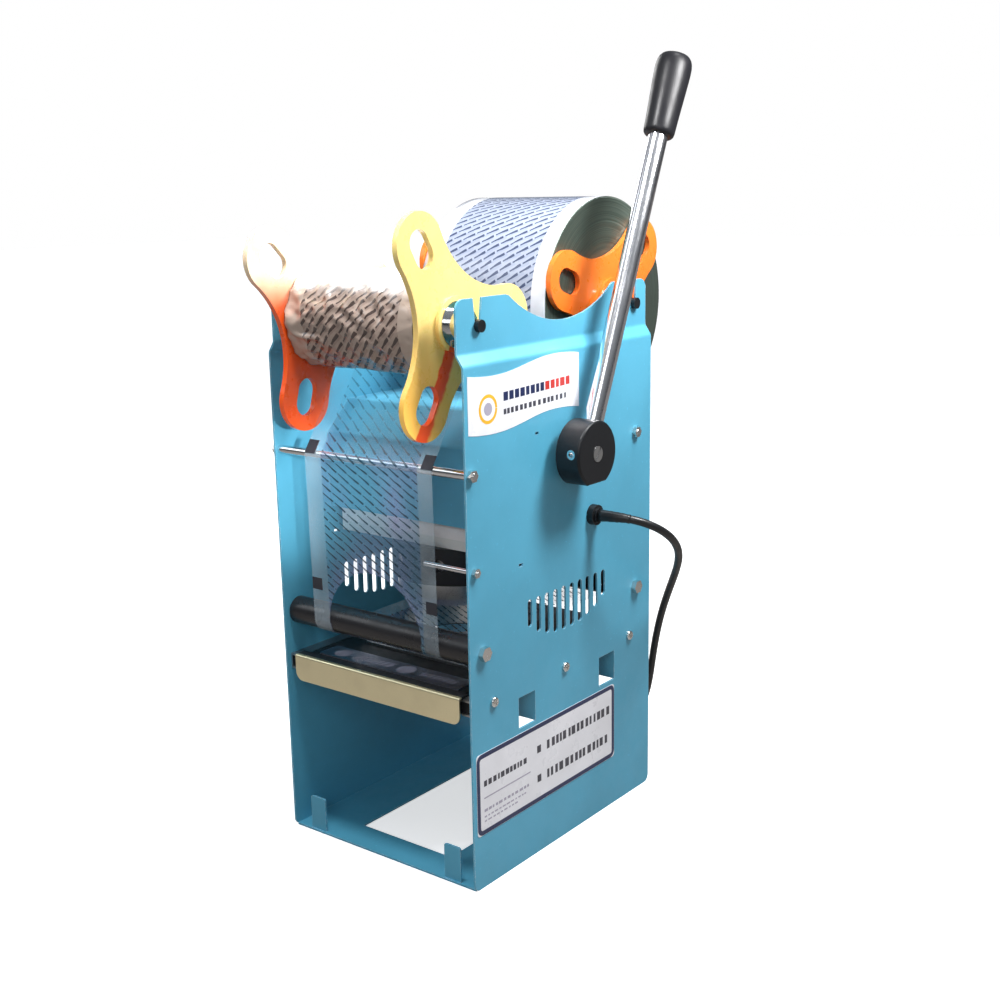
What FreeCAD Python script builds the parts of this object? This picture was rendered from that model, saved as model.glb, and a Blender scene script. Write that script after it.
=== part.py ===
import FreeCAD, Part

# Manual cup sealing machine: a folded steel housing that carries a roll of lidding film,
# a heated press head worked by a side lever through pinions and racks, and a cup drawer.
# Millimetres. +X is the lever side, the operator stands at -Y, +Z is up.
# The origin is the middle of the housing's footprint, on the surface it stands on.

import math
import os

V = FreeCAD.Vector

# ---- driving dimensions ---------------------------------------------------------------
WIDTH = 193.0            # outside the two side panels
DEPTH = 245.0            # panel depth, front to rear
SHEET = 1.5              # housing sheet
JOG_IN = 5.5             # how far the ears sit inside the lower panel
JOG_LOW, JOG_HIGH = 395.0, 403.0
EAR_TOP = 441.0

CUP_Y = -16.0            # centre of the cup, cutter and press head when the drawer is in
CUP_HOLE_R = 43.0        # holder for 90 mm cups
CUT_R = 47.5             # radius of the lid that the cutter punches

ROLLER_Z, ROLLER_R = 185.0, 11.0
FRONT_ROLLER_Y, REAR_ROLLER_Y = -107.5, 99.0
ROD_R = 3.5
FRONT_ROD = (-117.0, 318.5)
REAR_ROD = (98.5, 317.5)
GUIDE_WIRE = (-115.0, 247.5)
WIRE_R = 2.0
WIRE_END = 50.0          # free end of the wire, behind the right margin of the film

TAKEUP = (-98.5, 421.5)  # spool axes, (y, z)
SUPPLY = (104.0, 422.0)
TAKEUP_R, SUPPLY_R = 38.0, 85.0
FILM_HALF = 64.0         # half the film's width
FILM_T = 0.3
FILM_GAP = 0.3           # film to whatever turns inside its bend

SHAFT_Z, SHAFT_R = 318.0, 6.0
LEVER_LEAN = 23.3        # degrees back from upright
LEVER_X = 115.0
MODULE, TEETH = 2.0, 16
PRESS_TRAVEL = 21.0
HEAD_LOW = 195.1         # lowest edge of the head when it is up

DRAWER_TOP = 150.0       # underside of the tray's top plate

CORD_D = 6.5             # 1.24 m of it, most of it in the coil

# ---- derived --------------------------------------------------------------------------
HALF_W = WIDTH / 2
HALF_D = DEPTH / 2
INNER = HALF_W - SHEET
EAR_OUT = HALF_W - JOG_IN
EAR_IN = EAR_OUT - SHEET
PITCH_R = MODULE * TEETH / 2
RUN_CLEAR = 0.05         # radial clearance of a running fit

NODES = {}


def node(name, *solids):
    """Files the solids under one node name."""
    NODES[name] = solids[0] if len(solids) == 1 else Part.makeCompound(list(solids))


# ---- small helpers --------------------------------------------------------------------
def box(x0, x1, y0, y1, z0, z1):
    return Part.makeBox(x1 - x0, y1 - y0, z1 - z0, V(x0, y0, z0))


def cyl_x(x0, x1, y, z, r):
    return Part.makeCylinder(r, x1 - x0, V(x0, y, z), V(1, 0, 0))


def cyl_y(x, y0, y1, z, r):
    return Part.makeCylinder(r, y1 - y0, V(x, y0, z), V(0, 1, 0))


def cyl_z(x, y, z0, z1, r):
    return Part.makeCylinder(r, z1 - z0, V(x, y, z0), V(0, 0, 1))


def mirror_x(shape):
    return shape.mirror(V(0, 0, 0), V(1, 0, 0))


def in_yz(x=0.0):
    """Maps a flat (u, v) outline to (x, u, v)."""
    return lambda p: V(x, p[0], p[1])


def in_xz(y=0.0):
    return lambda p: V(p[0], y, p[1])


def in_xy(z=0.0):
    return lambda p: V(p[0], p[1], z)


def arc(a, mid, b, place):
    return Part.Arc(place(a), place(mid), place(b)).toShape()


def line(a, b, place):
    return Part.makeLine(place(a), place(b))


def face_of(edges):
    return Part.Face(Part.Wire(edges))


def polygon(points, place):
    ring = [place(p) for p in points]
    return Part.Face(Part.makePolygon(ring + ring[:1]))


def unit(a, b):
    d = math.hypot(b[0] - a[0], b[1] - a[1])
    return (b[0] - a[0]) / d, (b[1] - a[1]) / d


def corner(prev, at, nxt, radius):
    """Tangent points, centre and middle direction of a rounded corner of a flat path."""
    ux, uy = unit(at, prev)
    wx, wy = unit(at, nxt)
    half = math.acos(max(-1, min(1, ux * wx + uy * wy))) / 2
    cut = radius / math.tan(half)
    mx, my = ux + wx, uy + wy
    m = math.hypot(mx, my)
    mx, my = mx / m, my / m
    reach = radius / math.sin(half)
    centre = (at[0] + mx * reach, at[1] + my * reach)
    return (at[0] + ux * cut, at[1] + uy * cut), (at[0] + wx * cut, at[1] + wy * cut), centre, (-mx, -my)


def rounded(points, radii, place):
    """Closed outline with each corner rounded by its own radius, 0 for sharp."""
    n = len(points)
    edges, ends = [], []
    for i, p in enumerate(points):
        if radii[i] <= 0:
            ends.append((p, p, None))
            continue
        t1, t2, c, m = corner(points[i - 1], p, points[(i + 1) % n], radii[i])
        ends.append((t1, t2, (c[0] + m[0] * radii[i], c[1] + m[1] * radii[i])))
    for i in range(n):
        t1, t2, mid = ends[i]
        if mid:
            edges.append(arc(t1, mid, t2, place))
        nxt = ends[(i + 1) % n][0]
        if math.hypot(nxt[0] - t2[0], nxt[1] - t2[1]) > 1e-6:
            edges.append(line(t2, nxt, place))
    return face_of(edges)


def ribbon(points, thickness, radii, place):
    """Flat section of a bent sheet: a constant thickness about a path with rounded bends."""
    half = thickness / 2
    sides = ([], [])
    marks = [(points[0], points[0])]
    bends = []
    for i in range(1, len(points) - 1):
        t1, t2, c, m = corner(points[i - 1], points[i], points[i + 1], radii[i - 1])
        marks.append((t1, t2))
        bends.append((t1, t2, c, m, radii[i - 1]))
    marks.append((points[-1], points[-1]))
    rims = ([], [])
    for i in range(len(marks) - 1):
        a, b = marks[i][1], marks[i + 1][0]
        ux, uy = unit(a, b)
        for k, s in enumerate((half, -half)):
            pa = (a[0] - uy * s, a[1] + ux * s)
            pb = (b[0] - uy * s, b[1] + ux * s)
            rims[k].append((pa, pb))
    for k in (0, 1):
        for i, (pa, pb) in enumerate(rims[k]):
            sides[k].append(line(pa, pb, place))
            if i < len(bends):
                c, m, r = bends[i][2], bends[i][3], bends[i][4]
                own = math.hypot(pb[0] - c[0], pb[1] - c[1])
                sides[k].append(arc(pb, (c[0] + m[0] * own, c[1] + m[1] * own), rims[k][i + 1][0], place))
    caps = [line(rims[0][0][0], rims[1][0][0], place), line(rims[0][-1][1], rims[1][-1][1], place)]
    return Part.Face(Part.Wire(Part.__sortEdges__(sides[0] + sides[1] + caps)))


def hex_prism(x0, x1, y, z, flats):
    r = flats / math.sqrt(3)
    corners = [math.radians(60 * k) for k in range(6)]
    points = [(y + r * math.cos(a), z + r * math.sin(a)) for a in corners]
    return polygon(points, in_yz(x0)).extrude(V(x1 - x0, 0, 0))


def slot_prism(y, z0, z1, r, x0, x1):
    """Upright round-ended slot through a side panel, z0 and z1 being its two ends."""
    return box(x0, x1, y - r, y + r, z0 + r, z1 - r).multiFuse(
        [cyl_x(x0, x1, y, z0 + r, r), cyl_x(x0, x1, y, z1 - r, r)]).removeSplitter()


def bent_tube(points, radius):
    """Round bar along straight runs joined by the largest tangent arcs that the runs allow.
    Returns the solid, the length of its path and the radius of each arc."""
    pts = [V(*p) for p in points]
    edges, radii = [], []
    at = pts[0]
    for i in range(1, len(pts) - 1):
        u, w = (pts[i - 1] - pts[i]).normalize(), (pts[i + 1] - pts[i]).normalize()
        cut = 0.45 * min((pts[i - 1] - pts[i]).Length, (pts[i + 1] - pts[i]).Length)
        half = u.getAngle(w) / 2
        bend = cut * math.tan(half)
        t1, t2 = pts[i] + u * cut, pts[i] + w * cut
        middle = pts[i] + (u + w).normalize() * (bend / math.sin(half) - bend)
        edges += [Part.LineSegment(at, t1).toShape(), Part.Arc(t1, middle, t2).toShape()]
        radii.append(bend)
        at = t2
    edges.append(Part.LineSegment(at, pts[-1]).toShape())
    path = Part.Wire(edges)
    start = Part.Wire(Part.makeCircle(radius, pts[0], pts[1] - pts[0]))
    return path.makePipeShell([start], True, False), path.Length, radii


# ---- housing --------------------------------------------------------------------------
NOTCH_R = 3.18           # seat of a spool shaft's neck
NECK_R = 3.1
NOTCH_TOP = 7.2          # half the notch's mouth


def panel_outline():
    """Side view of a panel: round corners, two spool notches and the saddle between the ears."""
    place = in_yz(0)
    saddle_y, saddle_z, saddle_r = 5.0, 528.5, 111.0
    ear_fillet, foot_fillet = 8.0, 6.0
    horn_y = 74.6

    def on_saddle(y):
        return saddle_z - math.sqrt(saddle_r ** 2 - (y - saddle_y) ** 2)

    flat_end = -62.0
    start, end = (flat_end, on_saddle(flat_end)), (horn_y, on_saddle(horn_y))
    low = (saddle_y, saddle_z - saddle_r)
    body = rounded([(-HALF_D, 0), (HALF_D, 0), (HALF_D, EAR_TOP), (-HALF_D, EAR_TOP)],
                   [foot_fillet, foot_fillet, ear_fillet, ear_fillet], place)
    rise = EAR_TOP + 20
    saddle = face_of([arc(start, low, end, place), line(end, (horn_y + 3, EAR_TOP + 0.01), place),
                      line((horn_y + 3, EAR_TOP + 0.01), (horn_y + 3, rise), place),
                      line((horn_y + 3, rise), (flat_end - 4, rise), place),
                      line((flat_end - 4, rise), (flat_end - 4, EAR_TOP + 0.01), place),
                      line((flat_end - 4, EAR_TOP + 0.01), start, place)])
    solid = body.extrude(V(200, 0, 0)).cut(saddle.extrude(V(200, 0, 0)))
    for y, z in (TAKEUP, SUPPLY):
        neck = NOTCH_R + 0.1
        mouth = polygon([(y - neck, z), (y + neck, z), (y + neck, z + 6), (y + NOTCH_TOP, rise),
                         (y - NOTCH_TOP, rise), (y - neck, z + 6)], place).extrude(V(200, 0, 0))
        solid = solid.cut(mouth).cut(cyl_x(0, 200, y, z, NOTCH_R))
    return solid


VENT_COUNT, VENT_PITCH, VENT_R = 10, 11.1, 2.9
VENT_TOP = 211.0
LANCES = ((-65.5, -44.3), (44.5, 67.2))      # y spans of the two lanced windows
LANCE_Z = (112.0, 137.0)
RAIL_SCREW_Y, RAIL_SCREW_Z = (-96.0, -4.0, 90.0), 144.0
GLAND_Y, GLAND_Z = 35.0, 260.5


def side_panel():
    """Right panel, folded inwards below the ears, before the holes that only one side has."""
    mid = HALF_W - SHEET / 2
    path = [(mid, 0), (mid, JOG_LOW), (mid - JOG_IN, JOG_HIGH), (mid - JOG_IN, EAR_TOP + 5)]
    sheet = ribbon(path, SHEET, (5.0, 5.0), in_xz(-HALF_D)).extrude(V(0, DEPTH, 0))
    panel = sheet.common(panel_outline())
    for k in range(VENT_COUNT):
        offset = (k - (VENT_COUNT - 1) / 2)
        low = 175.5 + 14.0 * (abs(offset) / 4.5) ** 2.6
        panel = panel.cut(slot_prism(offset * VENT_PITCH + 0.5, low, VENT_TOP, VENT_R, INNER - 2, HALF_W + 2))
    for y0, y1 in LANCES:
        panel = panel.cut(box(INNER - 2, HALF_W + 2, y0, y1, *LANCE_Z))
        tab = box(INNER - 17, INNER + 0.5, y1, y1 + SHEET, LANCE_Z[0], LANCE_Z[1])
        panel = panel.fuse(tab.common(box(0, HALF_W - 0.2, y0, y1 + 3, 0, 300)))
    small = [(y, RAIL_SCREW_Z, 2.1) for y in RAIL_SCREW_Y]
    small += [(*FRONT_ROD, 2.6), (*REAR_ROD, 2.6), (0, SHAFT_Z, 9.0)]
    small += [(FRONT_ROLLER_Y, ROLLER_Z, 3.1), (REAR_ROLLER_Y, ROLLER_Z, 3.1)]
    for y, z, r in small:
        panel = panel.cut(cyl_x(INNER - 2, HALF_W + 2, y, z, r))
    for y, z, w, h in ((-60, 240.7, 5, 2.2), (-37.8, 337, 4, 2.0)):
        panel = panel.cut(box(INNER - 2, HALF_W + 2, y - w / 2, y + w / 2, z - h / 2, z + h / 2))
    return panel.removeSplitter()


panel = side_panel()
gland_hole = cyl_x(INNER - 2, HALF_W + 2, GLAND_Y, GLAND_Z, 5.0)
wire_hole = cyl_x(INNER - 2, HALF_W + 2, *GUIDE_WIRE, 1.6)
node("right_panel", panel.cut(gland_hole).cut(wire_hole))
node("left_panel", mirror_x(panel))

# Base: a plate with a large window and two tongues bent up at the front edge.
BASE_Y = 120.5
base = box(-INNER, INNER, -BASE_Y, BASE_Y, 0, SHEET).cut(box(-47, 47, -92, 92, -1, SHEET + 1))
for side in (-1, 1):
    x = side * 71.5
    tongue = rounded([(x - 8, 0), (x + 8, 0), (x + 8, 30), (x - 8, 30)], [0, 0, 2, 2], in_xz(-119.0))
    base = base.fuse(tongue.extrude(V(0, SHEET, 0)))
node("base_plate", base.removeSplitter())

# Cover over the press mechanism.
COVER_T = 1.2
cover_path = [(-64, 262.5), (-64, 324), (-38, 348), (38, 348), (64, 324), (64, 262.5)]
cover = ribbon(cover_path, COVER_T, (3, 3, 3, 3), in_yz(-INNER)).extrude(V(2 * INNER, 0, 0))
node("heater_cover", cover)

# Fixed bridge that guides the press head, with a flange at each end.
POST_X, POST_Y, POST_R = 66.0, 19.0, 6.0
RACK_X, RACK_HALF = 36.0, 6.0
RACK_BACK, RACK_FACE = -28.0, -PITCH_R + MODULE
BRIDGE_Z = (279.0, 283.0)
BUSH_R = 9.0
bridge = box(-INNER, INNER, -52, 36, *BRIDGE_Z)
for side in (-1, 1):
    outer, inner = side * INNER, side * (INNER - 3)
    bridge = bridge.fuse(box(min(outer, inner), max(outer, inner), -52, 36, 270, BRIDGE_Z[1]))
    bridge = bridge.cut(cyl_z(side * POST_X, POST_Y, 270, 290, BUSH_R))
    rack_slot = RACK_HALF + 0.6
    x = side * RACK_X
    bridge = bridge.cut(box(x - rack_slot, x + rack_slot, RACK_BACK - 0.6, RACK_FACE + 0.6, 270, 290))
node("guide_bridge", bridge.removeSplitter())

bushes = []
for side in (-1, 1):
    shell = cyl_z(side * POST_X, POST_Y, 275, 285, BUSH_R)
    shell = shell.fuse(cyl_z(side * POST_X, POST_Y, BRIDGE_Z[1], 286, 11))
    bushes.append(shell.cut(cyl_z(side * POST_X, POST_Y, 270, 290, POST_R + RUN_CLEAR)))

for side in (-1, 1):
    body = cyl_x(INNER - 3, HALF_W, 0, SHAFT_Z, 9.0).fuse(cyl_x(HALF_W, HALF_W + 2.5, 0, SHAFT_Z, 13.0))
    body = body.cut(cyl_x(INNER - 5, HALF_W + 5, 0, SHAFT_Z, SHAFT_R + RUN_CLEAR))
    bushes.append(body if side > 0 else mirror_x(body))
node("bronze_bushes", *bushes)


# Rods across the front and the rear that the film passes over, and a short guide wire.
def stud_rod(y, z, r, end_r):
    """Rod between the panels with a thinner threaded end through each."""
    thread = cyl_x(-HALF_W - 4.5, HALF_W + 4.5, y, z, end_r)
    return cyl_x(-INNER, INNER, y, z, r).fuse(thread).removeSplitter()


wire = cyl_x(WIRE_END, INNER, *GUIDE_WIRE, WIRE_R).fuse(cyl_x(INNER, HALF_W + 4.5, *GUIDE_WIRE, 1.5))
node("film_rods", stud_rod(*FRONT_ROD, ROD_R, 2.5), stud_rod(*REAR_ROD, ROD_R, 2.5), wire.removeSplitter())


def acorn(y, z, flats, height, bore):
    """Nut on a stud end, outside the right panel."""
    nut = hex_prism(HALF_W, HALF_W + height, y, z, flats)
    return nut.cut(cyl_x(HALF_W - 1, HALF_W + height + 1, y, z, bore))


nuts = [acorn(*FRONT_ROD, 8.0, 3.6, 2.5), acorn(*REAR_ROD, 8.0, 3.6, 2.5)]
node("rod_nuts", *nuts, *[mirror_x(n) for n in nuts], acorn(*GUIDE_WIRE, 6.5, 3.0, 1.5))

# Drawer rails: C channels, screwed to the panels.
RAIL_Z = (137.6, 150.0)
RAIL_REACH = 83.5
rails = []
for side in (1, -1):
    x0, x1 = RAIL_REACH, INNER
    channel = box(x0, x1, -118, 118, *RAIL_Z)
    channel = channel.cut(box(x0 - 1, x1 - 1.5, -119, 119, RAIL_Z[0] + 1.5, RAIL_Z[1] - 1.5))
    for y in RAIL_SCREW_Y:
        channel = channel.cut(cyl_x(x1 - 3, x1 + 1, y, RAIL_SCREW_Z, 2.0))
    rails.append(channel if side > 0 else mirror_x(channel))
node("drawer_rails", *rails)


def pan_screw(y, z, shank_r, head_r, head_h, inner_x):
    """Screw with its domed head on the outside of the right panel."""
    head = cyl_x(HALF_W, HALF_W + head_h, y, z, head_r)
    head = head.makeFillet(head_h * 0.6, [e for e in head.Edges if e.BoundBox.XMin > HALF_W + head_h - 0.01
                                         and e.BoundBox.YLength > head_r])
    cross = box(HALF_W + head_h - 1, HALF_W + head_h + 1, y - 2, y + 2, z - 0.4, z + 0.4)
    cross = cross.fuse(box(HALF_W + head_h - 1, HALF_W + head_h + 1, y - 0.4, y + 0.4, z - 2, z + 2))
    return head.cut(cross).fuse(cyl_x(inner_x, HALF_W, y, z, shank_r)).removeSplitter()


screws = [pan_screw(y, RAIL_SCREW_Z, 2.0, 4.0, 2.4, INNER - 1.5) for y in RAIL_SCREW_Y]
node("rail_screws", *(screws + [mirror_x(s) for s in screws]))

# Pivot bolts that the two film rollers turn on.
PIVOT_R = 3.0
pivots = []
for y in (FRONT_ROLLER_Y, REAR_ROLLER_Y):
    bolt = hex_prism(HALF_W, HALF_W + 4.2, y, ROLLER_Z, 10.0)
    bolt = bolt.fuse(cyl_x(INNER - 14, HALF_W, y, ROLLER_Z, PIVOT_R))
    pivots += [bolt, mirror_x(bolt)]
node("roller_bolts", *pivots)


# ---- rollers --------------------------------------------------------------------------
def roller(y):
    half = INNER - 1.5
    tube = cyl_x(-half, half, y, ROLLER_Z, ROLLER_R)
    for side in (-1, 1):
        x0, x1 = (half - 16, half + 1) if side > 0 else (-half - 1, -half + 16)
        tube = tube.cut(cyl_x(x0, x1, y, ROLLER_Z, PIVOT_R + RUN_CLEAR))
    return tube


node("front_roller", roller(FRONT_ROLLER_Y))
node("rear_roller", roller(REAR_ROLLER_Y))

# ---- lever and its shaft --------------------------------------------------------------
HUB_R, HUB_X0, HUB_X1 = 25.5, 104.5, 125.5
HUB_FLAT = 22.6
SHAFT_X0, SHAFT_X1 = -103.5, HUB_X1 + 0.4
TUBE_R, TUBE_WALL = 7.7, 1.3
GRIP_FROM, GRIP_TO = 255.0, 321.0
LEAN = math.radians(LEVER_LEAN)
LEVER_DIR = V(0, math.sin(LEAN), math.cos(LEAN))


def on_lever(distance):
    return V(LEVER_X, 0, SHAFT_Z) + LEVER_DIR * distance


shaft = cyl_x(SHAFT_X0, SHAFT_X1, 0, SHAFT_Z, SHAFT_R)
end_slot = box(SHAFT_X1 - 1.2, SHAFT_X1 + 1, -0.7, 0.7, SHAFT_Z - 10, SHAFT_Z + 10)
end_slot.rotate(V(0, 0, SHAFT_Z), V(1, 0, 0), -35)
node("lever_shaft", shaft.cut(end_slot))

collar = cyl_x(-HALF_W - 6.5, -HALF_W - 2.9, 0, SHAFT_Z, 11.0)
node("shaft_collar", collar.cut(cyl_x(-120, -90, 0, SHAFT_Z, SHAFT_R)))

hub = cyl_x(HUB_X0, HUB_X1, 0, SHAFT_Z, HUB_R)
hub = hub.cut(box(HUB_X0 - 1, HUB_X1 + 1, -30, 30, SHAFT_Z - 40, SHAFT_Z - HUB_FLAT))
face_edges = [e for e in hub.Edges if e.BoundBox.XLength < 0.01 and e.BoundBox.XMin > HUB_X1 - 0.1]
hub = hub.makeFillet(2.0, face_edges)
hub = hub.fuse(cyl_x(HALF_W + 2.9, HUB_X0, 0, SHAFT_Z, 12.0)).cut(cyl_x(90, 130, 0, SHAFT_Z, SHAFT_R))
SOCKET_FROM = 11.0
hub = hub.cut(Part.makeCylinder(TUBE_R, 40, on_lever(SOCKET_FROM), LEVER_DIR))
GRUB_R, GRUB_Z = 3.75, SHAFT_Z + 2.5
hub = hub.cut(cyl_y(LEVER_X + 3, -30, -SHAFT_R, GRUB_Z, GRUB_R))
node("lever_hub", hub.removeSplitter())

grub = cyl_y(LEVER_X + 3, -HUB_R + 0.5, -SHAFT_R - 0.2, GRUB_Z, GRUB_R)
hex_points = [(LEVER_X + 3 + 2.3 * math.cos(math.radians(60 * k)), GRUB_Z + 2.3 * math.sin(math.radians(60 * k)))
              for k in range(6)]
grub = grub.cut(polygon(hex_points, in_xz(-HUB_R)).extrude(V(0, 6, 0)))
node("hub_set_screw", grub)

tube = Part.makeCylinder(TUBE_R, GRIP_TO - 8 - SOCKET_FROM, on_lever(SOCKET_FROM), LEVER_DIR)
bore = Part.makeCylinder(TUBE_R - TUBE_WALL, GRIP_TO, on_lever(SOCKET_FROM - 20), LEVER_DIR)
node("lever_tube", tube.cut(bore))


def turned(profile, base, direction):
    """Solid of revolution: profile is a list of (distance along, radius) about a line from base."""
    place = in_xz(0)
    points = [(0, profile[0][0])] + [(r, d) for d, r in profile] + [(0, profile[-1][0])]
    solid = polygon(points, place).revolve(V(0, 0, 0), V(0, 0, 1), 360)
    turn = FreeCAD.Rotation(V(0, 0, 1), direction)
    solid.Placement = FreeCAD.Placement(base, turn)
    return solid


grip_profile = [(GRIP_FROM, 11.2), (GRIP_FROM + 1.5, 12.2), (GRIP_FROM + 30, 13.4), (GRIP_FROM + 55, 14.4),
                (GRIP_FROM + 61, 13.6), (GRIP_FROM + 64.5, 11.5), (GRIP_TO, 8.0)]
grip = turned(grip_profile, V(LEVER_X, 0, SHAFT_Z), LEVER_DIR)
node("lever_grip", grip.cut(Part.makeCylinder(TUBE_R, GRIP_TO - 8, on_lever(0), LEVER_DIR)))

# Pinions: involute teeth that mesh with straight-sided racks at the standard distance.
PRESSURE = math.radians(20.0)
BACKLASH = 0.25


def pinion_outline():
    base_r, tip_r, root_r = PITCH_R * math.cos(PRESSURE), PITCH_R + MODULE * 0.92, PITCH_R - MODULE * 1.25
    half_tooth = (math.pi * MODULE / 2 - BACKLASH) / 2 / PITCH_R
    inv_pitch = math.tan(PRESSURE) - PRESSURE
    steps = 6
    points = []
    for k in range(TEETH):
        mid = 2 * math.pi * k / TEETH
        flank = [(root_r, half_tooth + inv_pitch)]
        for i in range(steps + 1):
            r = max(base_r, root_r) + (tip_r - max(base_r, root_r)) * i / steps
            turn = math.acos(min(1.0, base_r / r))
            flank.append((r, half_tooth + inv_pitch - (math.tan(turn) - turn)))
        for r, a in flank:
            points.append((r * math.cos(mid - a), r * math.sin(mid - a)))
        for r, a in reversed(flank):
            points.append((r * math.cos(mid + a), r * math.sin(mid + a)))
    return [(y, z + SHAFT_Z) for y, z in points]


PINION_HALF = 7.0
pinions = []
for side in (-1, 1):
    x = side * RACK_X
    gear = polygon(pinion_outline(), in_yz(x - PINION_HALF)).extrude(V(2 * PINION_HALF, 0, 0))
    pinions.append(gear.cut(cyl_x(x - 10, x + 10, 0, SHAFT_Z, SHAFT_R)))
node("lever_pinions", *pinions)

# ---- press head -----------------------------------------------------------------------
PLATE_Z = (251.0, 263.0)
BOARD_Z = (243.0, 251.0)
BLOCK_Z = (213.0, 243.0)
plate = box(-86, 86, CUP_Y - 45, CUP_Y + 45, *PLATE_Z)
for side in (-1, 1):
    plate = plate.cut(cyl_z(side * POST_X, POST_Y, 240, 270, POST_R))
head_bolt_xy = [(sx * 38.0, CUP_Y + sy * 30.0) for sx in (-1, 1) for sy in (-1, 1)]
HEAD_BOLT_R = 2.5
for x, y in head_bolt_xy:
    plate = plate.cut(cyl_z(x, y, 240, 270, HEAD_BOLT_R))
node("press_plate", plate)

board = box(-86, 86, CUP_Y - 45, CUP_Y + 45, *BOARD_Z)
for x, y in head_bolt_xy:
    board = board.cut(cyl_z(x, y, 240, 270, HEAD_BOLT_R))
node("insulator_board", board)

block = cyl_z(0, CUP_Y, *BLOCK_Z, 54.0)
CARTRIDGE_R = 5.0
cartridges = []
for side in (-1, 1):
    x = side * 20.0
    block = block.cut(cyl_y(x, CUP_Y - 60, CUP_Y + 60, 229, CARTRIDGE_R))
    cartridges.append(cyl_y(x, CUP_Y - 46, CUP_Y + 52, 229, CARTRIDGE_R))
for x, y in head_bolt_xy:
    block = block.cut(cyl_z(x, y, 233, 243, HEAD_BOLT_R))
node("heater_block", block)
node("heater_cartridges", *cartridges)

head_bolts = []
for x, y in head_bolt_xy:
    bolt = cyl_z(x, y, 235, PLATE_Z[1], HEAD_BOLT_R).fuse(cyl_z(x, y, PLATE_Z[1], PLATE_Z[1] + 5, 4.3))
    bolt = bolt.cut(cyl_z(x, y, PLATE_Z[1] + 2.5, PLATE_Z[1] + 6, 2.0))
    head_bolts.append(bolt.removeSplitter())
node("head_bolts", *head_bolts)

seal_ring = cyl_z(0, CUP_Y, HEAD_LOW, BLOCK_Z[0], 45.8)
seal_ring = seal_ring.cut(cyl_z(0, CUP_Y, HEAD_LOW - 1, BLOCK_Z[0] - 5, 37.0))
node("seal_ring", seal_ring)

cutter_out = CUT_R + 2.0
cutter = cyl_z(0, CUP_Y, HEAD_LOW, BLOCK_Z[0], cutter_out)
cutter = cutter.cut(cyl_z(0, CUP_Y, HEAD_LOW - 1, BLOCK_Z[0] + 1, CUT_R - 1.2))
edge_cone = Part.makeCone(CUT_R - 0.6, cutter_out + 4, 14, V(0, CUP_Y, HEAD_LOW), V(0, 0, 1))
keep = edge_cone.fuse(cyl_z(0, CUP_Y, HEAD_LOW + 14, BLOCK_Z[0] + 1, cutter_out + 4))
node("cutter_ring", cutter.common(keep).removeSplitter())

thermostat = cyl_y(0, CUP_Y + 54, CUP_Y + 61, 229, 8.5).fuse(box(-4, 4, CUP_Y + 53.5, CUP_Y + 56, 222, 236))
node("thermostat", thermostat.cut(cyl_z(0, CUP_Y, 200, 250, 54.0)).removeSplitter())

posts = []
for side in (-1, 1):
    post = cyl_z(side * POST_X, POST_Y, PLATE_Z[0], 331, POST_R)
    post = post.fuse(cyl_z(side * POST_X, POST_Y, 331, 335, 10.0))
    posts.append(post.removeSplitter())
node("guide_posts", *posts)

RACK_TOP = SHAFT_Z + 6 + PRESS_TRAVEL
RACK_TEETH_FROM = SHAFT_Z - 22


def rack(x):
    """Straight rack whose tooth space meets the pinion tooth that points at -Y."""
    pitch = math.pi * MODULE
    root, tip = -PITCH_R - 1.25 * MODULE, RACK_FACE - 0.1
    slope = math.tan(PRESSURE)
    points = [(RACK_BACK, PLATE_Z[1]), (root, PLATE_Z[1])]
    first = math.ceil((RACK_TEETH_FROM - SHAFT_Z) / pitch)
    last = math.floor((RACK_TOP - 3 - SHAFT_Z) / pitch)
    half_pitch_tooth = (pitch / 2 - BACKLASH) / 2
    for k in range(first, last):
        mid = SHAFT_Z + (k + 0.5) * pitch
        for y, sign in ((root, -1), (tip, -1), (tip, 1), (root, 1)):
            points.append((y, mid + sign * (half_pitch_tooth - (y + PITCH_R) * slope)))
    points += [(root, RACK_TOP), (RACK_BACK, RACK_TOP)]
    return polygon(points, in_yz(x - RACK_HALF)).extrude(V(2 * RACK_HALF, 0, 0))


node("head_racks", rack(-RACK_X), rack(RACK_X))

# Return springs between the bridge and the post heads.
SPRING_LOW, SPRING_HIGH, SPRING_R, SPRING_WIRE, SPRING_TURNS = 286.0, 331.0, 7.9, 0.75, 7


def coil_spring(x, y):
    low, high = SPRING_LOW + SPRING_WIRE + 0.1, SPRING_HIGH - SPRING_WIRE - 0.1
    steps = 12 * SPRING_TURNS
    points = []
    for k in range(steps + 1):
        turn = 2 * math.pi * k / 12
        rise = low + (high - low) * k / steps
        points.append((x + SPRING_R * math.cos(turn), y + SPRING_R * math.sin(turn), rise))
    return bent_tube(points, SPRING_WIRE)[0]


node("return_springs", *[coil_spring(side * POST_X, POST_Y) for side in (-1, 1)])

# ---- cup drawer -----------------------------------------------------------------------
TRAY_HALF = 82.0
TRAY_FRONT = -120.2
tray_path = [(-TRAY_HALF + 0.6, 138), (-TRAY_HALF + 0.6, DRAWER_TOP + 0.6), (TRAY_HALF - 0.6, DRAWER_TOP + 0.6),
             (TRAY_HALF - 0.6, 138)]
tray = ribbon(tray_path, 1.2, (2.0, 2.0), in_xz(TRAY_FRONT)).extrude(V(0, 221, 0))
tray = tray.cut(cyl_z(0, CUP_Y, 140, 160, CUP_HOLE_R + 2))
TRAY_TOP = DRAWER_TOP + 1.2
node("drawer_tray", tray)

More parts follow.
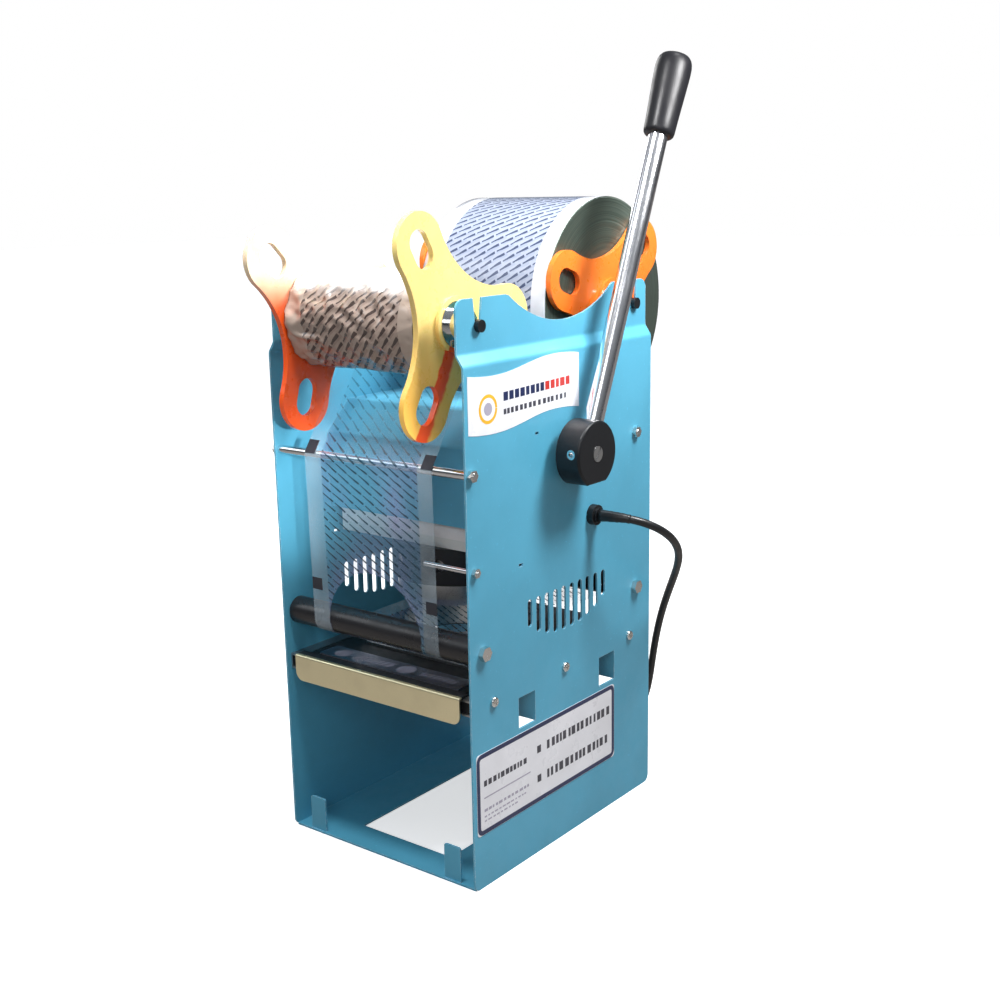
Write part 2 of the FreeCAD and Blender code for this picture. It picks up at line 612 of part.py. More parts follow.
runners = []
for side in (-1, 1):
    x0, x1 = (TRAY_HALF, INNER - 2.2) if side > 0 else (-INNER + 2.2, -TRAY_HALF)
    runners.append(box(x0, x1, TRAY_FRONT + 3, 96, RAIL_Z[0] + 2.0, RAIL_Z[1] - 2.0))
node("drawer_runners", *runners)

LIP_HALF, LIP_T = 85.2, 1.2
lip_y, lip_z = -HALF_D + LIP_T / 2, TRAY_TOP + LIP_T / 2
lip_path = [(lip_y, 131), (lip_y, lip_z), (-112, lip_z)]
lip = ribbon(lip_path, LIP_T, (1.4,), in_yz(-LIP_HALF)).extrude(V(2 * LIP_HALF, 0, 0))
lip_corners = [(-LIP_HALF, 131), (LIP_HALF, 131), (LIP_HALF, 160), (-LIP_HALF, 160)]
lip_face = rounded(lip_corners, [7, 7, 0, 0], in_xz(-130))
node("drawer_lip", lip.common(lip_face.extrude(V(0, 30, 0))))

label = rounded([(-73, -108), (72, -108), (72, -87), (-73, -87)], [1.5] * 4, in_xy(TRAY_TOP))
node("drawer_label", label.extrude(V(0, 0, 0.8)))

die_corners = [(-60, CUP_Y - 52), (60, CUP_Y - 52), (60, CUP_Y + 52), (-60, CUP_Y + 52)]
die = rounded(die_corners, [4] * 4, in_xy(TRAY_TOP))
die = die.extrude(V(0, 0, 2.0)).cut(cyl_z(0, CUP_Y, 140, 160, CUP_HOLE_R + 1))
node("die_plate", die)

GASKET_TOP = 172.4
RING_TOP = GASKET_TOP - 4.0
ring = cyl_z(0, CUP_Y, TRAY_TOP + 2.0, RING_TOP, 46.0)
ring = ring.fuse(cyl_z(0, CUP_Y, TRAY_TOP + 2.0, TRAY_TOP + 5.0, 51.0))
ring = ring.cut(cyl_z(0, CUP_Y, 140, 180, CUP_HOLE_R)).removeSplitter()
node("cup_ring", ring)
gasket = cyl_z(0, CUP_Y, RING_TOP, GASKET_TOP, 46.0).cut(cyl_z(0, CUP_Y, 140, 180, CUP_HOLE_R))
node("ring_gasket", gasket)

# ---- film spools ----------------------------------------------------------------------
STAR_RC, STAR_RL, STAR_T = 64.0, 24.0, 4.5       # lobe centre radius, lobe radius, thickness
STAR_WAIST = 38.0
STAR_IN = FILM_HALF + 0.6


def polar(r, degrees):
    a = math.radians(degrees)
    return r * math.cos(a), r * math.sin(a)


def star_flange(axis, first_angle, outward):
    """Three-lobed hand wheel and film guide with an oval finger hole in each lobe.
    outward is +1 on the right side of the roll and -1 on the left."""
    lx, ly = polar(STAR_RC, 60)
    gap = STAR_WAIST - STAR_RL
    hollow_at = (STAR_RC ** 2 - gap ** 2) / (2 * (lx - gap))
    hollow_r = hollow_at - STAR_WAIST
    place = in_yz(0)
    edges = []
    for k in range(3):
        mid = first_angle + 120 * k
        lobe = polar(STAR_RC, mid)
        ends = []
        for turn in (-60, 60):
            hollow = polar(hollow_at, mid + turn)
            ux, uy = unit(lobe, hollow)
            ends.append((lobe[0] + ux * STAR_RL, lobe[1] + uy * STAR_RL))
        edges.append(arc(ends[0], polar(STAR_RC + STAR_RL, mid), ends[1], place))
        nxt = polar(STAR_RC, mid + 120)
        hollow = polar(hollow_at, mid + 60)
        ux, uy = unit(nxt, hollow)
        next_end = (nxt[0] + ux * STAR_RL, nxt[1] + uy * STAR_RL)
        edges.append(arc(ends[1], polar(STAR_WAIST, mid + 60), next_end, place))
    star = face_of(edges).extrude(V(STAR_T, 0, 0))
    star = star.fuse(cyl_x(0, STAR_T + 3.0, 0, 0, 20.0)).cut(cyl_x(STAR_T, STAR_T + 4, 0, 0, CLAMP_R + 0.3))
    star = star.cut(cyl_x(-1, 20, 0, 0, SPOOL_SHAFT_R))
    for k in range(3):
        mid = first_angle + 120 * k
        ends = [polar(r, mid) for r in (57.0, 67.0)]
        side = polar(9.5, mid + 90)
        quad = [(ends[0][0] + side[0], ends[0][1] + side[1]), (ends[1][0] + side[0], ends[1][1] + side[1]),
                (ends[1][0] - side[0], ends[1][1] - side[1]), (ends[0][0] - side[0], ends[0][1] - side[1])]
        hole = polygon(quad, in_yz(-1)).extrude(V(10, 0, 0))
        for y, z in ends:
            hole = hole.fuse(cyl_x(-1, 9, y, z, 9.5))
        star = star.cut(hole)
    star = star.removeSplitter()
    if outward < 0:
        star = mirror_x(star)
    star.translate(V(outward * STAR_IN, axis[0], axis[1]))
    return star


SPOOL_SHAFT_R = 4.5
CLAMP_R = 16.2           # flange of the clamp, inside the ring on the star flange
CORE_OUT, CORE_IN = 19.0, 16.0


def spool(name, axis, roll_r, right_angle, left_angle):
    """Film roll on its core, held between two star flanges on a shaft that drops into the ears."""
    y, z = axis
    neck_in, neck_out = EAR_IN - 0.3, EAR_OUT + 0.3
    shaft = cyl_x(-neck_in, neck_in, y, z, SPOOL_SHAFT_R).fuse(cyl_x(-neck_out, neck_out, y, z, NECK_R))
    for side in (-1, 1):
        x0, x1 = (neck_out, neck_out + 3.6) if side > 0 else (-neck_out - 3.6, -neck_out)
        shaft = shaft.fuse(cyl_x(x0, x1, y, z, SPOOL_SHAFT_R))
    node(name + "_shaft", shaft.removeSplitter())
    node(name + "_flange_right", star_flange(axis, right_angle, 1))
    node(name + "_flange_left", star_flange(axis, left_angle, -1))
    core = cyl_x(-FILM_HALF, FILM_HALF, y, z, CORE_OUT).cut(cyl_x(-70, 70, y, z, CORE_IN))
    node(name + "_core", core)
    roll = cyl_x(-FILM_HALF, FILM_HALF, y, z, roll_r).cut(cyl_x(-70, 70, y, z, CORE_OUT))
    node(name + "_film", roll)
    clamps = []
    for side in (-1, 1):
        x0 = STAR_IN + STAR_T
        clamp = cyl_x(x0, x0 + 12.5, y, z, 12.0).fuse(cyl_x(x0, x0 + 3.2, y, z, CLAMP_R))
        clamp = clamp.cut(cyl_x(x0 - 1, x0 + 15, y, z, SPOOL_SHAFT_R))
        clamp = clamp.fuse(cyl_z(x0 + 8, y, z - 15.5, z - 11.0, 2.6))
        plug = cyl_x(STAR_IN - 14, STAR_IN, y, z, CORE_IN - 0.1).cut(cyl_x(0, 90, y, z, SPOOL_SHAFT_R))
        for piece in (clamp, plug):
            clamps.append(piece if side > 0 else mirror_x(piece))
    node(name + "_clamps", *clamps)


spool("takeup", TAKEUP, TAKEUP_R, 0.5, 14.5)
spool("supply", SUPPLY, SUPPLY_R, 41.0, 28.0)


# ---- film web -------------------------------------------------------------------------
def tangent(first, second):
    """Points where a straight run leaves one circle and meets the next. A circle is
    (y, z, radius, side), side being +1 where it lies right of the run and -1 where left."""
    (y1, z1, r1, s1), (y2, z2, r2, s2) = first, second
    span = math.hypot(y2 - y1, z2 - z1)
    heading = math.atan2(z2 - z1, y2 - y1) - math.asin((s1 * r1 - s2 * r2) / span)
    nx, nz = -math.sin(heading), math.cos(heading)
    return (y1 + s1 * r1 * nx, z1 + s1 * r1 * nz), (y2 + s2 * r2 * nx, z2 + s2 * r2 * nz)


def meet(run_a, run_b):
    """Where two straight runs cross when they are made longer."""
    (x1, y1), (x2, y2) = run_a
    (x3, y3), (x4, y4) = run_b
    d = (x1 - x2) * (y3 - y4) - (y1 - y2) * (x3 - x4)
    a, b = x1 * y2 - y1 * x2, x3 * y4 - y3 * x4
    return (a * (x3 - x4) - (x1 - x2) * b) / d, (a * (y3 - y4) - (y1 - y2) * b) / d


offset = FILM_GAP + FILM_T / 2
stations = [(*SUPPLY, SUPPLY_R + offset, 1), (*REAR_ROD, ROD_R + offset, -1),
            (REAR_ROLLER_Y, ROLLER_Z, ROLLER_R + offset, 1), (FRONT_ROLLER_Y, ROLLER_Z, ROLLER_R + offset, 1),
            (*FRONT_ROD, ROD_R + offset, 1), (*TAKEUP, TAKEUP_R + offset, -1)]
runs = [tangent(a, b) for a, b in zip(stations, stations[1:])]
corners = [meet(a, b) for a, b in zip(runs, runs[1:])]
film_path = [runs[0][0]] + corners + [runs[-1][1]]
film_radii = [s[2] for s in stations[1:-1]]
film = ribbon(film_path, FILM_T, film_radii, in_yz(-FILM_HALF)).extrude(V(2 * FILM_HALF, 0, 0))

# The last lid's hole lies half on the front run and half under the front roller.
wrap = math.pi / 2 * (ROLLER_R + offset)
wrap_half = math.sqrt(CUT_R ** 2 - (wrap / 2) ** 2)
roller_low = ROLLER_Z - ROLLER_R - offset - 1
punched = cyl_y(0, -130, FRONT_ROLLER_Y - 5, ROLLER_Z, CUT_R).cut(box(-60, 60, -140, -90, 100, ROLLER_Z))
film = film.cut(punched)
film = film.cut(box(-wrap_half, wrap_half, -130, FRONT_ROLLER_Y, roller_low, ROLLER_Z))
film = film.cut(cyl_z(0, FRONT_ROLLER_Y - wrap, roller_low, ROLLER_Z - 5, CUT_R).common(
    box(-60, 60, FRONT_ROLLER_Y, 0, 100, ROLLER_Z)))
bottom_box = box(-80, 80, FRONT_ROLLER_Y, REAR_ROLLER_Y, roller_low, ROLLER_Z - ROLLER_R)
pieces = film.cut(bottom_box).Solids
node("film_front_web", min(pieces, key=lambda s: s.CenterOfMass.y))
node("film_rear_web", max(pieces, key=lambda s: s.CenterOfMass.y))
node("film_bottom_web", film.common(bottom_box).Solids[0])


# ---- labels ---------------------------------------------------------------------------
def wavy_label():
    """Flag-shaped label: straight sides, gently waving top and bottom edges."""
    y0, y1, top, bottom, swing = -118.5, 17.0, 388.5, 347.0, 3.2
    place = in_yz(HALF_W)

    def wave(z):
        sixths = [(y0 + (y1 - y0) * i / 6, swing * math.sin(math.radians(60 * i)) - 0.5 * i) for i in range(7)]
        return [place((y, z - drop)) for y, drop in sixths]

    curves = []
    for z in (top, bottom):
        spline = Part.BSplineCurve()
        spline.interpolate(wave(z))
        curves.append(spline.toShape())
    a, b = wave(top), wave(bottom)
    wire = Part.Wire(Part.__sortEdges__(curves + [Part.makeLine(a[0], b[0]), Part.makeLine(a[-1], b[-1])]))
    return Part.Face(wire).extrude(V(0.25, 0, 0))


lower_label = rounded([(-118.5, 43), (67, 43), (67, 108), (-118.5, 108)], [3] * 4, in_yz(HALF_W))
node("side_labels", wavy_label(), lower_label.extrude(V(0.25, 0, 0)))

# ---- mains cord -----------------------------------------------------------------------
CORD_R = CORD_D / 2
GLAND_OUT = HALF_W + 7.5
gland = cyl_x(HALF_W, HALF_W + 5.5, GLAND_Y, GLAND_Z, 8.2)
gland = gland.fuse(cyl_x(HALF_W, GLAND_OUT, GLAND_Y, GLAND_Z, 6.0))
gland = gland.fuse(cyl_x(INNER - 6, HALF_W, GLAND_Y, GLAND_Z, 5.0))
gland = gland.fuse(cyl_x(INNER - 6, INNER, GLAND_Y, GLAND_Z, 8.0))
node("cord_gland", gland.removeSplitter())
node("terminal_block", box(INNER - 16, INNER, 52, 64, 232, 260).cut(cyl_y(INNER - 8, 50, 70, 246, 2.5)))

cord_route = [(GLAND_OUT, 35, 260.5), (116.2, 35.1, 261.0), (127.7, 39.0, 260.2), (137.5, 45.7, 257.2),
              (144.7, 54.6, 251.9), (148.3, 65.4, 244.6), (147.7, 77.6, 235.6), (143.5, 90.5, 225.3),
              (136.2, 103.7, 213.6), (126.6, 116.7, 200.6), (115.5, 129.3, 185.9), (104.0, 141.0, 169.5),
              (92.8, 151.8, 151.3), (82.6, 161.6, 131.4), (73.6, 170.6, 110.2), (65.6, 179.2, 88.4),
              (58.0, 187.4, 67.0), (49.6, 195.2, 47.6), (38.6, 202.6, 31.0), (24.6, 209.0, 17.8),
              (8.6, 213.8, 9.2), (-5.0, 216.6, 5.0), (-16.0, 218.0, 3.6)]
COIL_X, COIL_Y = -16.0, 178.0
COIL_OUTER, COIL_INNER = 40.0, 33.5      # radii of the two rings of turns, two layers of each
coil_top = 2 * CORD_D + 0.5
tail_route = [(COIL_X, COIL_Y - COIL_OUTER, 9.9), (-6, 138.6, 10.1), (4, 138.1, 10.5), (13, 138.6, 11.2)]


for name, route in (("power_cord", cord_route), ("cord_tail", tail_route)):
    tube, length, radii = bent_tube(route, CORD_R)
    node(name, tube)
    expected = math.pi * CORD_R ** 2 * length
    print("%s: length %.1f, volume %.0f of %.0f" % (name, length, tube.Volume, expected))
    print("  arc radii " + " ".join("%.0f" % r for r in radii))
coil = cyl_z(COIL_X, COIL_Y, 0.2, coil_top, COIL_OUTER + CORD_R)
node("cord_coil", coil.cut(cyl_z(COIL_X, COIL_Y, -1, coil_top + 1, COIL_INNER - CORD_R)))

PLUG_X, PLUG_Y, PLUG_Z = tail_route[-1]
PLUG_BODY, PLUG_FACE = PLUG_X + 14, PLUG_X + 36
plug = Part.makeCone(CORD_R + 1.0, CORD_R + 2.2, 14, V(PLUG_X, PLUG_Y, PLUG_Z), V(1, 0, 0))
shell = rounded([(PLUG_Y - 11, 0.4), (PLUG_Y + 11, 0.4), (PLUG_Y + 11, 22), (PLUG_Y - 11, 22)], [5] * 4,
                in_yz(PLUG_BODY))
plug = plug.fuse(shell.extrude(V(PLUG_FACE - PLUG_BODY, 0, 0)))
for dy in (-6.5, 6.5):
    plug = plug.fuse(cyl_x(PLUG_FACE, PLUG_FACE + 18, PLUG_Y + dy, PLUG_Z, 2.4))
node("power_plug", plug.removeSplitter())

# ---- files ----------------------------------------------------------------------------
os.makedirs("parts", exist_ok=True)
for name, shape in sorted(NODES.items()):
    bad = [s for s in shape.Solids if not s.isValid()]
    if bad or not shape.Solids:
        print("check", name, len(shape.Solids), "solids", len(bad), "not valid")
    shape.exportStep(os.path.join("parts", name + ".step"))
print(len(NODES), "nodes; film path", [(round(a, 1), round(b, 1)) for a, b in film_path])
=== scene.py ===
import math
import random

import bpy
from mathutils import Euler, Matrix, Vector, noise


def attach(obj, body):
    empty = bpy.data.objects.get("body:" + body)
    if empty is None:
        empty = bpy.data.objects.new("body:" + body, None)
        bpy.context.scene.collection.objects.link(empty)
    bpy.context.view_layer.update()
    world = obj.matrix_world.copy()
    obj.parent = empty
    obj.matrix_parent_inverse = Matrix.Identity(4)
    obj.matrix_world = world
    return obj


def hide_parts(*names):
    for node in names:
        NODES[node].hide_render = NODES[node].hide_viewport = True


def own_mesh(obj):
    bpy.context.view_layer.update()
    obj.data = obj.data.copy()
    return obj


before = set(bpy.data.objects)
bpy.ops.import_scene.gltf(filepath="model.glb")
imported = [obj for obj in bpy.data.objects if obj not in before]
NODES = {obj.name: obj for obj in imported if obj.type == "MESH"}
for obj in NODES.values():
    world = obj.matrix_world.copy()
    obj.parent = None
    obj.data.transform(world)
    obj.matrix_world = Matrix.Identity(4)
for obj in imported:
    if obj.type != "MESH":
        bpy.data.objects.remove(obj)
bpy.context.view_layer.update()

# Looks for the cup sealing machine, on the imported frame. Metres; lengths written in
# millimetres are multiplied by MM. +X is the lever side, the operator stands at -Y.

MM = 0.001
SCENE = bpy.context.scene


# ---- camera ---------------------------------------------------------------------------
LENS, SENSOR_WIDTH = 48.41, 36.0            # mm
CAMERA_PLACE = (0.67788, -0.83086, 0.51315)
CAMERA_TURN = (77.024, 1.0476, 37.655)      # degrees about X, Y and Z


def add_camera():
    data = bpy.data.cameras.new("camera")
    data.lens = LENS
    data.sensor_width = SENSOR_WIDTH
    data.clip_start = 0.05
    camera = bpy.data.objects.new("camera", data)
    camera.location = CAMERA_PLACE
    camera.rotation_euler = Euler([math.radians(a) for a in CAMERA_TURN], "XYZ")
    SCENE.collection.objects.link(camera)
    SCENE.camera = camera


add_camera()


# ---- materials: node helpers ----------------------------------------------------------
class Shader:
    """A Principled material with short calls for the nodes that this scene uses."""

    def __init__(self, name, color, roughness, metallic=0.0, **sockets):
        self.mat = bpy.data.materials.new(name)
        self.mat.use_nodes = True
        self.nt = self.mat.node_tree
        self.bsdf = self.nt.nodes["Principled BSDF"]
        self.set("Base Color", (*color, 1.0))
        self.set("Roughness", roughness)
        self.set("Metallic", metallic)
        for key, value in sockets.items():
            self.set(key.replace("_", " "), value)
        self.coords = self.node("ShaderNodeTexCoord").outputs["Object"]

    def set(self, socket, value):
        self.bsdf.inputs[socket].default_value = value

    def node(self, kind, **props):
        n = self.nt.nodes.new(kind)
        for key, value in props.items():
            setattr(n, key, value)
        return n

    def link(self, a, b):
        self.nt.links.new(a, b)

    def scaled(self, sx, sy, sz):
        m = self.node("ShaderNodeMapping")
        m.inputs["Scale"].default_value = (sx, sy, sz)
        self.link(self.coords, m.inputs["Vector"])
        return m.outputs["Vector"]

    def noise(self, scale, detail=3.0, rough=0.5, vector=None):
        n = self.node("ShaderNodeTexNoise")
        n.inputs["Scale"].default_value = scale
        n.inputs["Detail"].default_value = detail
        n.inputs["Roughness"].default_value = rough
        self.link(vector or self.coords, n.inputs["Vector"])
        return n.outputs[0]

    def math(self, op, a, b=0.0):
        n = self.node("ShaderNodeMath", operation=op)
        for socket, value in zip(n.inputs, (a, b)):
            if isinstance(value, (int, float)):
                socket.default_value = value
            else:
                self.link(value, socket)
        return n.outputs[0]

    def ramp(self, fac, low, high, from_value=0.0, to_value=1.0):
        """Smooth step of fac between low and high, from from_value to to_value."""
        n = self.node("ShaderNodeMapRange", interpolation_type="SMOOTHSTEP")
        n.inputs["From Min"].default_value = low
        n.inputs["From Max"].default_value = high
        n.inputs["To Min"].default_value = from_value
        n.inputs["To Max"].default_value = to_value
        self.link(fac, n.inputs["Value"])
        return n.outputs["Result"]

    def tint(self, fac, a, b):
        """Colour between a and b: a where fac is 0, b where it is 1."""
        n = self.node("ShaderNodeMixRGB")
        for socket, value in zip(n.inputs, (fac, a, b)):
            if isinstance(value, (int, float)):
                socket.default_value = value
            elif isinstance(value, tuple):
                socket.default_value = (*value, 1.0)
            else:
                self.link(value, socket)
        return n.outputs[0]

    def to_color(self, out):
        self.link(out, self.bsdf.inputs["Base Color"])

    def to_rough(self, out):
        self.link(out, self.bsdf.inputs["Roughness"])

    def bump(self, height, strength, distance=0.0002, normal=None):
        n = self.node("ShaderNodeBump")
        n.inputs["Strength"].default_value = strength
        n.inputs["Distance"].default_value = distance
        self.link(height, n.inputs["Height"])
        if normal is not None:
            self.link(normal, n.inputs["Normal"])
        self.link(n.outputs["Normal"], self.bsdf.inputs["Normal"])
        return n.outputs["Normal"]

    def edges(self, radius, low=0.02, high=0.25):
        """1 along sharp edges, 0 on flat faces."""
        b = self.node("ShaderNodeBevel", samples=4)
        b.inputs["Radius"].default_value = radius
        g = self.node("ShaderNodeNewGeometry")
        dot = self.node("ShaderNodeVectorMath", operation="DOT_PRODUCT")
        self.link(b.outputs[0], dot.inputs[0])
        self.link(g.outputs["Normal"], dot.inputs[1])
        return self.ramp(self.math("SUBTRACT", 1.0, dot.outputs["Value"]), low, high)


def shade(color, k):
    """The colour k times as bright."""
    return tuple(min(1.0, c * k) for c in color)


def powder_coat(name, color, rough=0.42):
    """Sprayed paint with faint clouds and specks, worn pale along its edges."""
    s = Shader(name, color, rough, Coat_Weight=0.15, Coat_Roughness=0.25)
    cloud = s.ramp(s.noise(9.0, 4.0, 0.6), 0.35, 0.68)
    base = s.tint(cloud, shade(color, 0.93), shade(color, 1.05))
    speck = s.ramp(s.noise(420.0, 2.0, 0.5), 0.69, 0.74)
    base = s.tint(s.math("MULTIPLY", speck, 0.35), base, shade(color, 1.5))
    worn = s.math("MULTIPLY", s.edges(0.0007), s.ramp(s.noise(160.0, 4.0, 0.7), 0.35, 0.62))
    s.to_color(s.tint(s.math("MULTIPLY", worn, 0.75), base, (0.86, 0.90, 0.93)))
    s.to_rough(s.ramp(s.noise(55.0, 5.0, 0.65), 0.3, 0.7, rough - 0.06, rough + 0.1))
    s.bump(s.noise(1500.0, 2.0, 0.5), 0.22, 0.00008)
    return s.mat


def metal(name, color, rough, stretch=(1, 1, 1), lines=0.15, smudge=0.12, tarnish=None):
    """Bare or plated metal; stretch draws its grain out into brushed lines."""
    s = Shader(name, color, rough, 1.0)
    v = s.scaled(*stretch)
    fine = s.noise(900.0, 3.0, 0.6, v)
    film = s.ramp(s.noise(38.0, 5.0, 0.6), 0.35, 0.75)
    s.to_color(s.tint(s.math("MULTIPLY", film, 0.55), color, tarnish or shade(color, 0.84)))
    grain = s.ramp(fine, 0.3, 0.7, rough * 0.8, rough * 1.2)
    s.to_rough(s.math("ADD", s.math("MULTIPLY", film, smudge), grain))
    s.bump(fine, lines, 0.00005)
    return s.mat


def part_painted(name, color, tarnish, from_y):
    """Brushed plate whose top, behind from_y, is under the black paint of the tray."""
    s = Shader(name, color, 0.34, 1.0)
    paint = s.ramp(axes(s)[1], from_y, from_y + 0.0003)
    fine = s.noise(900.0, 3.0, 0.6, s.scaled(14, 1, 1))
    film = s.ramp(s.noise(38.0, 5.0, 0.6), 0.35, 0.75)
    bare = s.tint(s.math("MULTIPLY", film, 0.55), color, tarnish)
    s.to_color(s.tint(paint, bare, (0.010, 0.011, 0.013)))
    s.link(s.math("SUBTRACT", 1.0, paint), s.bsdf.inputs["Metallic"])
    s.to_rough(s.math("ADD", s.math("MULTIPLY", film, 0.12), s.ramp(fine, 0.3, 0.7, 0.27, 0.40)))
    s.bump(fine, 0.10, 0.00005)
    return s.mat


def moulded(name, color, rough, grain=800.0, depth=0.2, coat=0.0, deep=0.86, specular=0.5, wear=0.12):
    """Plastic, rubber, paint or print: deep darkens its clouds, and wear lightens its edges."""
    s = Shader(name, color, rough, Coat_Weight=coat, Coat_Roughness=0.12, Specular_IOR_Level=specular)
    cloud = s.ramp(s.noise(22.0, 4.0, 0.6), 0.3, 0.7)
    base = s.tint(cloud, shade(color, deep), shade(color, 1.06))
    rubbed = tuple(c * 0.6 + 0.3 for c in color)
    s.to_color(s.tint(s.math("MULTIPLY", s.edges(0.0006), wear), base, rubbed))
    s.to_rough(s.ramp(s.noise(70.0, 4.0, 0.6), 0.3, 0.7, rough * 0.86, rough * 1.18))
    s.bump(s.noise(grain, 3.0, 0.55), depth, 0.0001)
    return s.mat


def print_pattern(s, u, v, slope, row, dash, width):
    """Slanting rows of tapering strokes, like small print seen from afar. u and v in metres."""
    c, k = math.cos(slope), math.sin(slope)
    wobble = s.math("MULTIPLY", s.math("SUBTRACT", s.noise(60.0, 2.0, 0.5), 0.5), 0.0022)
    along = s.math("ADD", s.math("MULTIPLY", u, c), s.math("MULTIPLY", v, k))
    across = s.math("SUBTRACT", s.math("MULTIPLY", v, c), s.math("MULTIPLY", u, k))
    rows = s.math("DIVIDE", s.math("ADD", wobble, across), row)
    middle = s.math("ABSOLUTE", s.math("SUBTRACT", s.math("FRACT", rows), 0.5))
    shift = s.math("MULTIPLY", s.math("FRACT", s.math("MULTIPLY", s.math("FLOOR", rows), 0.37)), dash)
    place = s.math("FRACT", s.math("DIVIDE", s.math("ADD", along, shift), dash))
    # each stroke swells towards one end, with a broken outline like letters
    ragged = s.math("MULTIPLY", s.noise(1300.0, 1.0, 0.5), 0.5)
    swell = s.math("ADD", s.ramp(place, 0.15, 0.8, 0.55, 1.25), ragged)
    thick = s.math("MULTIPLY", swell, width / row / 2)
    return s.math("MULTIPLY", s.math("LESS_THAN", middle, thick), s.math("LESS_THAN", place, 0.86))


def axes(s):
    """The X, Y and Z of a point of the object."""
    sep = s.node("ShaderNodeSeparateXYZ")
    s.link(s.coords, sep.inputs[0])
    return sep.outputs["X"], sep.outputs["Y"], sep.outputs["Z"]


def between(s, value, low, high):
    """1 where value is between low and high, else 0."""
    return s.math("MULTIPLY", s.math("GREATER_THAN", value, low), s.math("LESS_THAN", value, high))


PRINT_X = (-0.047, 0.050)             # the printed part of the film's width
MARGIN_X, RIM_X = 0.0535, 0.0643      # where the eye marks begin, and the film's cut edge
EYE_PITCH, EYE_Z = 0.109, 0.3195      # black eye marks on the film's two margins
EYE_SHARE = 0.088                     # of the pitch


def film_web(name, along):
    """Clear lidding film with a slanting print between clear margins and black eye marks."""
    s = Shader(name, (0.80, 0.86, 0.92), 0.10, IOR=1.5, Specular_IOR_Level=0.8)
    x, y, z = axes(s)
    v = z if along == "z" else y
    printed = between(s, x, *PRINT_X)
    strokes = print_pattern(s, x, v, math.radians(-29), 0.0057, 0.0142, 0.00092)
    ink = s.math("MULTIPLY", strokes, printed)
    phase = s.math("FRACT", s.math("DIVIDE", s.math("SUBTRACT", v, EYE_Z), EYE_PITCH))
    side = s.math("ABSOLUTE", x)
    on_margin = s.math("GREATER_THAN", side, MARGIN_X)
    eye = s.math("MULTIPLY", on_margin, s.math("LESS_THAN", phase, EYE_SHARE))
    rim = s.math("GREATER_THAN", side, RIM_X)
    haze = s.ramp(s.noise(16.0, 3.0, 0.6, s.scaled(1.0, 1.0, 0.5)), 0.32, 0.68)
    violet = s.tint(haze, (0.16, 0.42, 0.60), (0.34, 0.34, 0.62))
    tone = s.tint(printed, (0.60, 0.74, 0.84), violet)
    tone = s.tint(ink, tone, (0.008, 0.045, 0.075))
    s.to_color(s.tint(eye, tone, (0.012, 0.014, 0.025)))
    # clearest above the front rod, where it is held flat towards the light: painted light, the film made
    # clearer by height alone
    low = s.ramp(z, 0.345, 0.315, 0.35, 1.0)
    veil = s.math("ADD", 0.09, s.math("MULTIPLY", printed, 0.08))
    alpha = s.math("MULTIPLY", s.math("ADD", s.math("MULTIPLY", haze, 0.16), veil), low)
    alpha = s.math("MAXIMUM", alpha, s.math("MULTIPLY", rim, 0.55))
    alpha = s.math("MAXIMUM", alpha, s.math("MULTIPLY", ink, s.math("MULTIPLY", low, 0.80)))
    s.link(s.math("MAXIMUM", alpha, s.math("MULTIPLY", eye, 0.98)), s.bsdf.inputs["Alpha"])
    s.to_rough(s.math("ADD", 0.10, s.math("MULTIPLY", eye, 0.6)))
    s.bump(s.noise(30.0, 3.0, 0.6, s.scaled(1.0, 1.0, 0.4)), 0.5, 0.0014)
    return s.mat


def wound_film(name, pale, line, dark, veil, rough, slope, row, dash, width, crease, lit_z=None):
    """Many turns of the same film: dark strokes over fainter ones, between plain margins.

    veil is how much of line lies between the strokes, crease the depth of the folds, and
    lit_z the height above which a loose roll is painted white, a painted highlight."""
    s = Shader(name, pale, rough, Coat_Weight=0.35, Coat_Roughness=0.08)
    uv = s.node("ShaderNodeUVMap", uv_map="wound")
    sep = s.node("ShaderNodeSeparateXYZ")
    s.link(uv.outputs[0], sep.inputs[0])
    u, v = sep.outputs["X"], sep.outputs["Y"]
    printed = between(s, u, *PRINT_X)
    slope = math.radians(slope)
    ink = print_pattern(s, u, v, slope, row, dash, width)
    # the turn below shows through, shifted and blurred wider
    u_below, v_below = s.math("ADD", u, 0.0041), s.math("ADD", v, row * 0.45)
    ghost = print_pattern(s, u_below, v_below, slope, row, dash * 1.45, width * 1.5)
    base = s.tint(s.ramp(s.noise(24.0, 4.0, 0.6), 0.3, 0.7), shade(pale, 0.82), pale)
    under = s.tint(s.math("MULTIPLY", printed, veil), base, line)
    soft = s.tint(s.math("MULTIPLY", s.math("MULTIPLY", ghost, printed), 0.42), under, line)
    tone = s.tint(s.math("MULTIPLY", s.math("MULTIPLY", ink, printed), 0.9), soft, dark)
    if lit_z:
        # the loose outer turns are clear; above lit_z they are painted white, a painted highlight of light
        # coming through them
        wave = s.math("MULTIPLY", s.math("SUBTRACT", s.noise(55.0, 3.0, 0.6), 0.5), 0.02)
        ragged = s.math("ADD", axes(s)[2], wave)
        tone = s.tint(s.ramp(ragged, lit_z - 0.006, lit_z + 0.008), tone, (0.93, 0.90, 0.89))
    s.to_color(tone)
    fine = s.bump(s.noise(70.0, 4.0, 0.6), 0.12, 0.0008)
    if crease:
        cells = s.node("ShaderNodeTexVoronoi", feature="F1")
        cells.inputs["Scale"].default_value = 44.0
        s.link(s.coords, cells.inputs["Vector"])
        s.bump(cells.outputs["Distance"], crease, 0.004, fine)
    return s.mat


